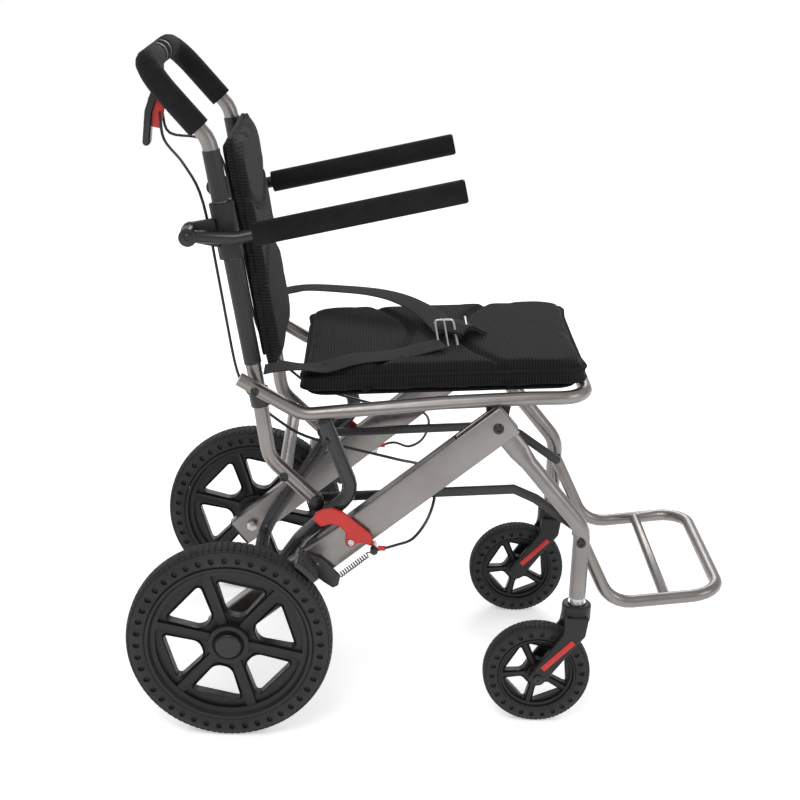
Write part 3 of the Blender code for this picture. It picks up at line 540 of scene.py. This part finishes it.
def rim(name, node, radius, hub, width, count, spoke, inner, outer, sign, turn):
    """A moulded rim with windows, ribbed spokes and a hub, turned about its axle; its top faces sign."""
    low, high = corners(node)
    centre = (low + high) / 2
    web = width * 0.42
    disc = cylinder(name, ORIGIN, radius, web, "Z", 96)
    cutters = []
    first = window(inner, outer, count, spoke, width, radius * 0.085)
    for i in range(count):
        one = first.copy()
        one.data = first.data.copy()
        one.data.transform(Matrix.Rotation(2 * math.pi * (i + 0.5) / count, 4, "Z"))
        bpy.context.collection.objects.link(one)
        cutters.append(one)
    bpy.data.objects.remove(first)
    cutter = join(cutters, "windows")
    modify(disc, "BOOLEAN", operation="DIFFERENCE", object=cutter, solver="EXACT")
    bpy.data.objects.remove(cutter)
    for face_side in (1, -1):
        edit(disc, lambda face: face.normal.z * face_side > 0.9)
        bpy.ops.mesh.inset(thickness=radius * 0.022, depth=-web * 0.22)
        close_edit()
    ribs = []
    rib_end = radius * 0.88
    for i in range(count):
        rib = block("rib", ((hub + rib_end) / 2, 0, 0), (rib_end - hub + 0.002, spoke * 0.72, web * 1.25))
        edit(rib, lambda face: abs(face.normal.z) > 0.9)
        bpy.ops.mesh.inset(use_individual=True, thickness=spoke * 0.13, depth=-web * 0.12)
        close_edit()
        soften(rib, spoke * 0.05)
        rib.data.transform(Matrix.Rotation(2 * math.pi * i / count, 4, "Z"))
        ribs.append(rib)
    bed = cylinder("bed", ORIGIN, radius, width, "Z", 96)
    edit(bed, lambda face: abs(face.normal.z) > 0.9)
    bpy.ops.mesh.inset(use_individual=True, thickness=radius * 0.035)
    bpy.ops.mesh.inset(use_individual=True, thickness=radius * 0.030, depth=-width * 0.16)
    bpy.ops.mesh.inset(use_individual=True, thickness=radius * 0.05, depth=-width * 0.06)
    close_edit()
    edit(bed, lambda face: abs(face.normal.z) > 0.99 and len(face.vertices) > 40)
    bpy.ops.mesh.bridge_edge_loops()
    close_edit()
    boss = cylinder("boss", ORIGIN, hub, width * 1.02, "Z", 48)
    edit(boss, lambda face: abs(face.normal.z) > 0.9)
    bpy.ops.mesh.inset(use_individual=True, thickness=hub * 0.22)
    bpy.ops.mesh.inset(use_individual=True, thickness=hub * 0.10, depth=-width * 0.07)
    bpy.ops.mesh.inset(use_individual=True, thickness=hub * 0.12)
    bpy.ops.mesh.inset(use_individual=True, thickness=hub * 0.06, depth=width * 0.05)
    close_edit()
    soften(boss, hub * 0.035)
    whole = join([disc, bed, boss] + ribs, name)
    lay = Matrix.Rotation(turn, 4, "Y") @ Matrix.Rotation(sign * math.pi / 2, 4, "X")
    whole.data.transform(Matrix.Translation(centre) @ lay)
    smooth(whole, 32)
    return hang(whole, PLASTIC, node)


AT_REAR = dict(radius=0.1208, hub=0.030, width=0.0385, count=6, spoke=0.020, inner=0.041, outer=0.090)
AT_CASTER = dict(radius=0.0568, hub=0.0150, width=0.0285, count=5, spoke=0.0095, inner=0.0205, outer=0.0430)
for side, sign in SIDES:
    rim(f"rear_rim_moulded_{side}", f"rear_rim_{side}", **AT_REAR, sign=sign, turn=math.radians(12))
    rim(f"caster_rim_moulded_{side}", f"caster_rim_{side}", **AT_CASTER, sign=sign, turn=math.radians(30))

# %% [markdown]
# The seat is a slab of foam in a zipped cover. Air pressure inside a cloth simulation puffs the cover between
# its edges as stuffing does; the underside is held flat because it lies on the sling. The seams come after the
# simulation, because its remesh would wipe them out, and a piped cord is laid in each one.


# %% Padding by cloth simulation
PUFF_FRAMES = 20


def puff(obj, voxel, pressure, cap, held):
    """Swells a closed slab by pressure; no point moves more than cap, and held(point) ones stay."""
    modify(obj, "REMESH", mode="VOXEL", voxel_size=voxel)
    modify(obj, "SMOOTH", factor=0.5, iterations=3)
    before = [vertex.co.copy() for vertex in obj.data.vertices]
    only(obj)
    stuffing = obj.modifiers.new("stuffing", "CLOTH")
    stuffing.settings.quality = 4
    stuffing.settings.mass = 0.3
    stuffing.settings.tension_stiffness = 25
    stuffing.settings.compression_stiffness = 25
    stuffing.settings.bending_stiffness = 2
    stuffing.settings.use_pressure = True
    stuffing.settings.uniform_pressure_force = pressure
    stuffing.settings.effector_weights.gravity = 0
    stuffing.point_cache.frame_start = 1
    stuffing.point_cache.frame_end = PUFF_FRAMES
    for step in range(1, PUFF_FRAMES + 1):
        bpy.context.scene.frame_set(step)
    bpy.ops.object.modifier_apply(modifier=stuffing.name)
    bpy.context.scene.frame_set(1)
    for vertex, home in zip(obj.data.vertices, before):
        move = vertex.co - home
        if move.length > cap:
            move = move.normalized() * cap
        if held(home):
            move = Vector()
        vertex.co = home + move


def sink(obj, distance, depth, reach, facing):
    """Presses a seam into the faces turned towards facing; distance(point) is how far the seam is."""
    turned = [vertex.normal.dot(facing) > 0.3 for vertex in obj.data.vertices]
    for vertex, faces_it in zip(obj.data.vertices, turned):
        if faces_it:
            vertex.co -= facing * depth * math.exp(-((distance(vertex.co) / reach) ** 2))


def rest_on(obj, points, facing, lift):
    """The points dropped along -facing onto obj."""
    landed = []
    for point in points:
        hit, place, _, _ = obj.ray_cast(point + facing * 0.2, -facing)
        if hit:
            landed.append(place + facing * lift)
    return landed


def wrap_round(obj, points, lift):
    """The points drawn in level towards their middle until they meet obj's side."""
    middle = sum(points, Vector()) / len(points)
    landed = []
    for point in points:
        inward = (middle - point).normalized()
        hit, place, _, _ = obj.ray_cast(point - inward * 0.05, inward)
        landed.append(place - inward * lift if hit else point)
    return landed


def slab(node, name, shrink):
    """A copy of a soft frame node, drawn in a little to leave room to swell."""
    copy = copied(node, name)
    edit(copy, lambda face: True)
    bpy.ops.transform.shrink_fatten(value=-shrink)
    close_edit()
    return copy


def squared(turn, flat):
    """The cosine and sine of turn, pushed out towards a square; flat is 1 for a circle."""
    c, s = math.cos(turn), math.sin(turn)
    return math.copysign(abs(c) ** flat, c), math.copysign(abs(s) ** flat, s)


# %% [markdown]
# The seat cover has a rounded panel in front, another behind, and an hourglass insert between them. Both seams
# are arcs that come closest on the middle line. A seam follows the outline too, and a bound edge runs round.

# %% Seat cushion
SEAT_RISE = 0.024  # how much higher the seat is in front than behind
CORD_RADIUS = 0.0013
SWELL_MARGIN = 0.0035  # the slab is this much smaller all round than the swollen cushion

seat_low, seat_high = corners("seat_cushion")
seat_length = seat_high.x - seat_low.x
seat_half = seat_high.y
seat_tilt = math.atan2(SEAT_RISE, seat_length)
seat_up = Vector((-math.sin(seat_tilt), 0, math.cos(seat_tilt)))
seat = slab("seat_cushion", "seat_pad_sewn", SWELL_MARGIN)


def seat_floor(x):
    """The height of the cushion's underside at x."""
    return seat_low.z + (x - seat_low.x) * math.tan(seat_tilt)


puff(seat, 0.0048, 4.0, 0.009, lambda p: p.z < seat_floor(p.x) + 0.008)


def seat_seam(y):
    """How far each arc seam is from the seat's middle line, at y."""
    return seat_length * (0.085 + 0.165 * min(1, abs(y) / seat_half) ** 2)


def seat_rim(p):
    """How far p is inside the seat's outline."""
    return min(seat_half - abs(p.y), p.x - seat_low.x, seat_high.x - p.x)


seat_middle = seat_low.x + seat_length * 0.48
modify(seat, "SUBSURF", levels=1, render_levels=1)
sink(seat, lambda p: abs(abs(p.x - seat_middle) - seat_seam(p.y)), 0.0060, 0.0070, seat_up)
sink(seat, lambda p: abs(seat_rim(p) - 0.013), 0.0030, 0.0035, seat_up)
smooth(seat, 80)
hang(seat, SEAT_CLOTH, "seat_cushion")
for end in (-1, 1):
    line = []
    for i in range(49):
        y = (seat_half - 0.012) * (i / 24 - 1)
        line.append(Vector((seat_middle + end * seat_seam(y), y, seat_high.z)))
    end_name = "front" if end > 0 else "rear"
    cord = bar(f"seat_piping_{end_name}", rest_on(seat, line, seat_up, 0.0002), CORD_RADIUS, 8)
    hang(cord, BINDING, body="chassis")
edge = []
for i in range(120):
    c, s = squared(2 * math.pi * i / 120, 0.16)
    x = (seat_low.x + seat_high.x) / 2 + c * (seat_length / 2 - SWELL_MARGIN)
    edge.append(Vector((x, s * (seat_half - SWELL_MARGIN), seat_floor(x) + 0.0215)))
hang(bar("seat_edge_binding", wrap_round(seat, edge, 0.0004), 0.0024, 8, True), BINDING, body="chassis")
print("seat pad:", len(seat.data.polygons), "faces")

# %% [markdown]
# The back pad is made the same way, but its seams curve on a leaning plane, so all its distances are measured
# along the back tubes' own direction. It has a slight waist a little above its middle.

# %% Back cushion
BACK_LEAN, BACK_RISE = 0.065, 0.345  # the back tubes go this far rearwards over this height
WAIST_AT = 0.56  # of the back's height, from its foot

_, back_high = corners("back_cushion")
back_half = back_high.y
lean = math.atan2(BACK_LEAN, BACK_RISE)
back_up = Vector((-math.sin(lean), 0, math.cos(lean)))
back_front = Vector((math.cos(lean), 0, math.sin(lean)))
pad = slab("back_cushion", "back_pad_sewn", 0.0015)
rear_plane = min(vertex.co.dot(back_front) for vertex in pad.data.vertices)
foot = min(vertex.co.dot(back_up) for vertex in pad.data.vertices)
head = max(vertex.co.dot(back_up) for vertex in pad.data.vertices)
puff(pad, 0.0045, 4.0, 0.008, lambda p: p.dot(back_front) < rear_plane + 0.006)


def waist(share):
    """How much narrower the back is at a share of its height."""
    return 0.07 * math.exp(-(((share - WAIST_AT) / 0.17) ** 2))


for vertex in pad.data.vertices:
    vertex.co.y *= 1 - waist((vertex.co.dot(back_up) - foot) / (head - foot))


def back_seam(y):
    """How far each arc seam is from the back's waist line, at y."""
    return (head - foot) * (0.075 + 0.165 * min(1, abs(y) / back_half) ** 2)


back_waist = foot + (head - foot) * WAIST_AT
modify(pad, "SUBSURF", levels=1, render_levels=1)
sink(pad, lambda p: abs(abs(p.dot(back_up) - back_waist) - back_seam(p.y)), 0.0050, 0.0065, back_front)
smooth(pad, 80)
hang(pad, BACK_CLOTH, "back_cushion")
for end in (-1, 1):
    line = []
    for i in range(41):
        y = (back_half - 0.016) * (i / 20 - 1)
        point = back_up * (back_waist + end * back_seam(y)) + back_front * (rear_plane + 0.02)
        line.append(Vector((point.x, y, point.z)))
    end_name = "upper" if end > 0 else "lower"
    cord = bar(f"back_piping_{end_name}", rest_on(pad, line, back_front, 0.0002), CORD_RADIUS, 8)
    hang(cord, BINDING, body="back")
edge = []
for i in range(120):
    along, s = squared(2 * math.pi * i / 120, 0.2)
    across = s * (back_half - 0.002) * (1 - waist((along + 1) / 2))
    height = (foot + head) / 2 + along * ((head - foot) / 2 - 0.002)
    point = back_up * height + back_front * (rear_plane + 0.010)
    edge.append(Vector((point.x, across, point.z)))
hang(bar("back_edge_binding", wrap_round(pad, edge, 0.0004), 0.0022, 8, True), BINDING, body="back")
print("back pad:", len(pad.data.polygons), "faces")

# %% [markdown]
# Under the seat and behind the back a sling of coated cloth carries the load. It is stretched flat between the
# tubes, so the frame's own flat shape is right, and only its edges are softened.


# %% Slings
def sling(node, name):
    """A frame sling with soft edges, in its cloth."""
    copy = copied(node, name)
    edit(copy, lambda face: True)
    bpy.ops.mesh.dissolve_limited(angle_limit=math.radians(1))
    close_edit()
    soften(copy, 0.0009, 2, 50)
    smooth(copy)
    return hang(copy, SLING_CLOTH, node)


seat_sling = sling("seat_sling", "seat_sling_stretched")
back_sling = sling("back_sling", "back_sling_stretched")

# %% [markdown]
# The lap belt is 44 mm webbing. A strap is a flat ribbon that follows the cushion, so its mesh is laid out
# point by point along its centre line, and its edges are rounded. The buckle is a steel hoop with a bar across,
# and the loose tail is folded double and held by a steel keeper.


# %% Lap belt
STRAP_HALF, STRAP_THICK = 0.022, 0.0016
STRAP_RING = ((-1, -1), (-0.5, -1), (0.5, -1), (1, -1), (1, 1), (0.5, 1), (-0.5, 1), (-1, 1))


def ribbon(name, path, half=STRAP_HALF, thick=STRAP_THICK):
    """A flat strap along a smooth curve through path."""
    line = [Vector(p) for p in path]
    dense = []
    ends = [2 * line[0] - line[1]] + line + [2 * line[-1] - line[-2]]
    for a, b, c, d in zip(ends, ends[1:], ends[2:], ends[3:]):
        for i in range(8):
            t = i / 8
            near = 2 * b + (c - a) * t
            far = (2 * a - 5 * b + 4 * c - d) * t**2 + (3 * b - a - 3 * c + d) * t**3
            dense.append((near + far) / 2)
    dense.append(line[-1])
    verts, faces = [], []
    for i, at in enumerate(dense):
        along = (dense[min(i + 1, len(dense) - 1)] - dense[max(i - 1, 0)]).normalized()
        across = Vector((0, 0, 1)).cross(along).normalized()
        up = along.cross(across).normalized()
        wave = 0.0006 * math.sin(i * 0.9)
        for u, v in STRAP_RING:
            verts.append(at + across * half * u + up * (thick / 2 * v + wave * (1 - abs(u))))
    ring = len(STRAP_RING)
    for i in range(len(dense) - 1):
        for k in range(ring):
            n = (k + 1) % ring
            faces.append((i * ring + k, i * ring + n, (i + 1) * ring + n, (i + 1) * ring + k))
    faces.append(tuple(range(ring - 1, -1, -1)))
    faces.append(tuple((len(dense) - 1) * ring + k for k in range(ring)))
    mesh = bpy.data.meshes.new(name)
    mesh.from_pydata(verts, [], faces)
    obj = bpy.data.objects.new(name, mesh)
    bpy.context.collection.objects.link(obj)
    outward(obj)
    soften(obj, thick * 0.35, 2, 50)
    smooth(obj)
    return obj


def on_seat(x, y, lift):
    """A point above the finished seat."""
    hit, place, _, _ = seat.ray_cast(Vector((x, y, seat_high.z + 0.1)), Vector((0, 0, -1)))
    return (place if hit else Vector((x, y, seat_high.z))) + Vector((0, 0, lift))


buckle_low, buckle_high = corners("buckle")
buckle_at = (buckle_low + buckle_high) / 2
near = [spot(0.046, 0.543, -0.187), spot(0.080, 0.549, -0.185)]
near += [on_seat(ORIGIN_X + 0.122, -0.158, 0.004), on_seat(ORIGIN_X + 0.170, -0.136, 0.003)]
near += [on_seat(ORIGIN_X + 0.232, -0.108, 0.003), on_seat(buckle_at.x - 0.006, buckle_at.y - 0.026, 0.007)]
hang(ribbon("belt_right_webbing", near), WEBBING_PAINTED_SHEEN, "belt_right")
far = [spot(0.052, 0.556, 0.187), spot(0.090, 0.563, 0.185), spot(0.140, 0.569, 0.160)]
far += [spot(0.200, 0.574, 0.124), spot(0.245, 0.572, 0.088), on_seat(ORIGIN_X + 0.285, 0.040, 0.014)]
far += [on_seat(buckle_at.x + 0.006, buckle_at.y + 0.022, 0.008)]
hang(ribbon("belt_left_webbing", far), WEBBING_PAINTED_SHEEN, "belt_left")
heart = on_seat(buckle_at.x, buckle_at.y, 0.012)
lie = Matrix.Rotation(math.radians(10), 4, "Z") @ Matrix.Rotation(math.radians(38), 4, "X")
outline = []
for degrees in range(0, 360, 10):
    c, s = squared(math.radians(degrees), 0.22)
    outline.append(heart + lie @ Vector((c * 0.014, s * 0.026, 0)))
hoop = bar("buckle_hoop", outline, 0.0021, 12, True)
across = bar("buckle_bar", [heart + lie @ Vector((0, y, 0)) for y in (-0.025, 0.025)], 0.0018, 12)
hang(join([hoop, across], "buckle_steel"), STEEL, "buckle")
tail = [heart + Vector((0.004, 0.006, 0.002)), heart + Vector((0.016, 0.024, 0.008))]
tail += [heart + Vector((0.030, 0.040, 0.006)), on_seat(buckle_at.x + 0.052, buckle_at.y + 0.052, 0.003)]
hang(ribbon("belt_tail_webbing", tail, thick=0.0036), WEBBING_PAINTED_SHEEN, body="chassis")
keeper = bar("belt_keeper", [tail[2] + Vector((0, y, 0.004)) for y in (-STRAP_HALF, STRAP_HALF)], 0.0016, 12)
hang(keeper, STEEL, body="chassis")

# %% [markdown]
# Each brake is pulled off its tyre by a small tension spring with a hook at either end. A spring is a helix, so
# its path is worked out from its turns and made into a bar.


# %% Brake springs, cable stops and ferrules
def spring(name, start, end, radius, wire, turns):
    """A tension spring from start to end."""
    along = (end - start).normalized()
    side_way = along.orthogonal().normalized()
    up_way = along.cross(side_way)
    path = [start]
    count = turns * 12
    for i in range(count + 1):
        turn = 2 * math.pi * i / 12
        share = 0.12 + 0.76 * i / count
        path.append(start.lerp(end, share) + (side_way * math.cos(turn) + up_way * math.sin(turn)) * radius)
    path.append(end)
    return bar(name, path, wire, 8)


for side, sign in SIDES:
    node = f"brake_spring_{side}"
    low, high = corners(node)
    y = (low.y + high.y) / 2
    start = Vector((low.x + 0.002, y, low.z + 0.002))
    end = Vector((high.x - 0.002, y, high.z - 0.002))
    hang(spring(f"brake_spring_coil_{side}", start, end, 0.0036, 0.0009, 13), GUNMETAL, node)
    stop = end + (end - start).normalized() * 0.004
    nib = cylinder(f"cable_stop_{side}", stop, 0.0062, 0.011, "Y", 6)
    soften(nib, 0.0012)
    smooth(nib)
    hang(nib, GLOSSY, body="chassis")
    tang = cylinder("tang", stop - Vector((0, sign * 0.012, 0)), 0.0040, 0.026, "Y", 16)
    join([nib, tang], nib.name)
    collar = cylinder(f"cable_ferrule_{side}", stop + Vector((0.011, 0, 0.0035)), 0.0036, 0.011, "X", 20)
    soften(collar, 0.0007)
    smooth(collar)
    hang(collar, RED, body="chassis")

# %% [markdown]
# Dome-headed bolts hold the joints. One head is modelled: a short cylinder whose top is inset and raised into a
# dome, with a hexagon socket sunk in the middle. Copies are placed on each joint's axis, on the outer face.

# %% Bolts
dome = cylinder("dome_bolt_pattern", (0, 0, 0.25), 1.0, 0.5, "Z", 24)
edit(dome, lambda face: face.normal.z > 0.9)
bpy.ops.mesh.inset(thickness=0.18, depth=0.16)
bpy.ops.mesh.inset(thickness=0.26, depth=0.10)
bpy.ops.mesh.inset(thickness=0.12, depth=0.0)
bpy.ops.mesh.inset(thickness=0.02, depth=-0.28)
close_edit()
soften(dome, 0.05, 2, 35)


def bolt(name, at, sign, radius, look, body):
    """A copy of the dome bolt at a place, its head towards sign along Y."""
    one = dome.copy()
    one.data = dome.data.copy()
    one.name = name
    turn = Matrix.Rotation(-sign * math.pi / 2, 4, "X")
    one.data.transform(Matrix.Translation(at) @ turn @ Matrix.Diagonal((radius, radius, radius * 0.85, 1)))
    bpy.context.collection.objects.link(one)
    smooth(one)
    return hang(one, look, body=body)


def outer_face(node, sign):
    """How far across the chair a node's outer face is."""
    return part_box(node)[0 if sign < 0 else 1][1]


fold, top, knee = PIVOT["frame_fold"], PIVOT["front_leg_fold"], PIVOT["footrest_flip"]
for side, sign in SIDES:
    beam_face = outer_face(f"beam_{side}", sign)
    leg_face = sign * (abs(PIVOT[f"caster_swivel_{side}"].y) + 0.0122)
    rail_face = sign * (abs(PIVOT[f"caster_swivel_{side}"].y) + 0.0098)
    hook_at = Vector((PIVOT[f"lock_hook_turn_{side}"].x, outer_face(f"lock_hook_{side}", sign), 0.290))
    brake_at = PIVOT[f"brake_arm_turn_{side}"]
    bolt(f"beam_top_bolt_{side}", Vector((top.x, beam_face, top.z)), sign, 0.0075, GLOSSY, "chassis")
    bolt(f"rail_bolt_{side}", Vector((fold.x, rail_face, fold.z)), sign, 0.0062, GLOSSY, "chassis")
    bolt(f"leg_bolt_{side}", Vector((knee.x, leg_face, knee.z)), sign, 0.0070, GLOSSY, "front_legs")
    bolt(f"hook_bolt_{side}", hook_at, sign, 0.0050, STEEL, "chassis")
    plate_face = brake_at.y + sign * 0.005
    bolt(f"brake_bolt_{side}", Vector((brake_at.x, plate_face, brake_at.z)), sign, 0.0050, STEEL, "chassis")
    bolt(f"upright_bolt_{side}", spot(0.073, 0.372, sign * 0.1608), sign, 0.0065, GLOSSY, "back")
    bolt(f"bow_bolt_{side}", spot(0.129, 0.326, sign * 0.1908), sign, 0.0062, GLOSSY, "chassis")
    bolt(f"bow_top_bolt_{side}", spot(0.133, 0.438, sign * 0.1905), sign, 0.0055, GLOSSY, "chassis")
    arm = PIVOT[f"armrest_flip_{side}"]
    arm_at = Vector((arm.x, sign * 0.1985, arm.z))
    bolt(f"arm_bolt_{side}", arm_at, sign, 0.0070, GLOSSY, f"armrest_{side}")
    spin = PIVOT[f"caster_spin_{side}"] + Vector((0, sign * 0.027, 0))
    bolt(f"caster_bolt_{side}", spin, sign, 0.0065, GLOSSY, f"caster_fork_{side}")
    hub = PIVOT[f"rear_wheel_spin_{side}"]
    cap = cylinder(f"hub_cap_{side}", hub + Vector((0, sign * 0.0205, 0)), 0.0185, 0.006, "Y", 40)
    edit(cap, lambda face: face.normal.y * sign > 0.9)
    bpy.ops.mesh.inset(thickness=0.005, depth=0.0020)
    bpy.ops.mesh.inset(thickness=0.006, depth=-0.0012)
    close_edit()
    soften(cap, 0.0010, 2, 35)
    smooth(cap)
    hang(cap, GLOSSY, body=f"rear_wheel_{side}")
    nut = cylinder(f"axle_nut_{side}", Vector((hub.x, sign * 0.1640, hub.z)), 0.0095, 0.007, "Y", 6)
    soften(nut, 0.0008)
    smooth(nut, 30)
    hang(nut, STEEL, body="chassis")
bpy.data.objects.remove(dome)

# %% [markdown]
# The forks carry a red inlay down the outside of both blades, and the back tubes wear shrunk vinyl sleeves
# above and below the arm clamps. Both follow the piece below them: an inlay is a thin bevelled bar, a sleeve is
# a short tube a little thicker than the one that it covers.


# %% Fork inlays and back sleeves
for side, sign in SIDES:
    spin = PIVOT[f"caster_spin_{side}"]
    swivel = PIVOT[f"caster_swivel_{side}"]
    for hand in (-1, 1):
        face = spin.y + hand * 0.0272
        start = Vector((spin.x + 0.006, face, spin.z + 0.016))
        end = Vector((swivel.x - 0.004, face, spin.z + 0.062))
        along = end - start
        name = f"fork_inlay_{side}_{'outer' if hand == sign else 'inner'}"
        size = (along.length, 0.0016, 0.0085)
        strip = block(name, (start + end) / 2, size, -math.atan2(along.z, along.x))
        soften(strip, 0.0006)
        smooth(strip)
        hang(strip, RED, body=f"caster_fork_{side}")

tube_foot = Vector((PIVOT["frame_fold"].x, 0, PIVOT["frame_fold"].z))
sleeve_ends = ((0.030, 0.184), (0.266, 0.336))
for side, sign in SIDES:
    for i, (start, end) in enumerate(sleeve_ends):
        path = [tube_foot + back_up * (start + (end - start) * k / 6) for k in range(7)]
        path = [Vector((p.x, sign * TUBE_Y, p.z)) for p in path]
        sleeve = bar(f"back_sleeve_{side}_{i + 1}", path, 0.0124, 24)
        hang(sleeve, VINYL, body="back")

# %% [markdown]
# Three small things are still missing: the red lock plate beside the brake lever, the plated neck that shows
# between each front leg and its fork, and the dark lug each back upright ends in.

# %% Lock plate, caster necks and upright lugs
lever = PIVOT["brake_squeeze"]
lock_at = (lever.x - 0.006, 0, lever.z - 0.042)
lock = block("brake_lock_plate", lock_at, (0.026, 0.009, 0.042), math.radians(12))
soften(lock, 0.0030, 3)
smooth(lock)
hang(lock, RED, body="brake_lever")
for side, sign in SIDES:
    swivel = PIVOT[f"caster_swivel_{side}"]
    fork_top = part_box(f"caster_fork_{side}")[1][2]
    neck = cylinder(f"caster_neck_{side}", (swivel.x, swivel.y, fork_top + 0.0052), 0.0102, 0.0086, "Z", 32)
    collar = cylinder("collar", (swivel.x, swivel.y, fork_top + 0.0018), 0.0128, 0.0024, "Z", 32)
    hang(join([neck, collar], neck.name), STEEL, body="front_legs")
    smooth(neck)
    lug = cylinder(f"upright_lug_{side}", spot(0.121, 0.331, sign * TUBE_Y), 0.0118, 0.0235)
    soften(lug, 0.0015)
    smooth(lug)
    hang(lug, GLOSSY, body="back")

# %% [markdown]
# The open lower end of each beam is closed by a moulded plug, a bevelled block just proud of the beam. A foam
# disc closes the front of each arm pad, tilted as the pad is.

# %% Beam plugs and arm tips
ARM_TILT = math.radians(13)

for side, sign in SIDES:
    hub = PIVOT[f"rear_wheel_spin_{side}"]
    run = Vector((top.x - hub.x, 0, top.z - hub.z)).normalized()
    foot_at = Vector((hub.x, sign * BEAM_Y, hub.z)) - run * 0.0285
    plug = block(f"beam_foot_plug_{side}", foot_at, (0.004, 0.0245, 0.0470), -math.atan2(run.z, run.x))
    soften(plug, 0.0018, 3)
    smooth(plug)
    hang(plug, PLASTIC, body="chassis")
    low, high = corners(f"arm_pad_{side}")
    tip_at = Vector((high.x - 0.0038, (low.y + high.y) / 2, high.z - 0.0160))
    tip = cylinder(f"arm_tip_{side}", tip_at, 0.0150, 0.0035, "X")
    tilt = Matrix.Rotation(-ARM_TILT, 4, "Y")
    tip.data.transform(Matrix.Translation(tip_at) @ tilt @ Matrix.Translation(-tip_at))
    soften(tip, 0.0010)
    smooth(tip)
    hang(tip, FOAM, body=f"armrest_{side}")

# %% [markdown]
# The studio is a wide white floor with soft light from all round: a large key above, a fill from the side and
# one from behind to draw the edges of the black pieces. The floor glows a little, so that it stays white. The
# camera stands to the chair's right, a little higher than its push bow, and looks down.

# %% Floor, light and camera
FLOOR_GLOW = 0.42
SKY_STRENGTH = 0.62
CAMERA_AT = Vector((ORIGIN_X + 0.1933, -2.1845, 1.195))

bpy.ops.object.select_all(action="DESELECT")
bpy.ops.mesh.primitive_plane_add(size=90, location=ORIGIN)
floor = take("floor")
paper = bpy.data.materials.new("white paper floor")
paper.use_nodes = True
sheet = paper.node_tree.nodes["Principled BSDF"].inputs
sheet["Base Color"].default_value = (0.93, 0.93, 0.93, 1)
sheet["Roughness"].default_value = 0.9
sheet["Emission Color"].default_value = (1, 1, 1, 1)
sheet["Emission Strength"].default_value = FLOOR_GLOW
floor.data.materials.append(paper)
world = bpy.data.worlds.new("studio")
world.use_nodes = True
world.node_tree.nodes["Background"].inputs["Color"].default_value = (1, 1, 1, 1)
world.node_tree.nodes["Background"].inputs["Strength"].default_value = SKY_STRENGTH
bpy.context.scene.world = world


def lamp(name, at, target, size, power):
    """A square soft light at a place, turned to a target; power is in watts."""
    light = bpy.data.lights.new(name, "AREA")
    light.shape = "SQUARE"
    light.size = size
    light.energy = power
    obj = bpy.data.objects.new(name, light)
    bpy.context.collection.objects.link(obj)
    obj.location = at
    obj.rotation_euler = (Vector(target) - Vector(at)).to_track_quat("-Z", "Y").to_euler()


lamp("key", (-0.8, -2.2, 2.8), (0, 0, 0.5), 1.5, 34)
lamp("fill", (2.4, -1.6, 1.6), (0, 0, 0.4), 1.5, 14)
lamp("rim", (0.3, 2.6, 2.2), (0, 0, 0.5), 1.6, 30)

yaw, pitch, roll = math.radians(-1.17), math.radians(19.16), math.radians(1.04)
forward = Vector((math.sin(yaw) * math.cos(pitch), math.cos(yaw) * math.cos(pitch), -math.sin(pitch)))
level = forward.cross(Vector((0, 0, 1))).normalized()
rise = level.cross(forward)
right_way = level * math.cos(roll) + rise * math.sin(roll)
up_way = rise * math.cos(roll) - level * math.sin(roll)
lens = bpy.data.cameras.new("camera")
lens.lens = 67.95
lens.sensor_width = 36
lens.shift_x = 0.075
camera = bpy.data.objects.new("camera", lens)
bpy.context.collection.objects.link(camera)
place = Matrix((right_way, up_way, -forward)).transposed().to_4x4()
place.translation = CAMERA_AT
camera.matrix_world = place
bpy.context.scene.camera = camera
bpy.context.scene.view_settings.view_transform = "Standard"

# %% Finish
bpy.context.view_layer.update()
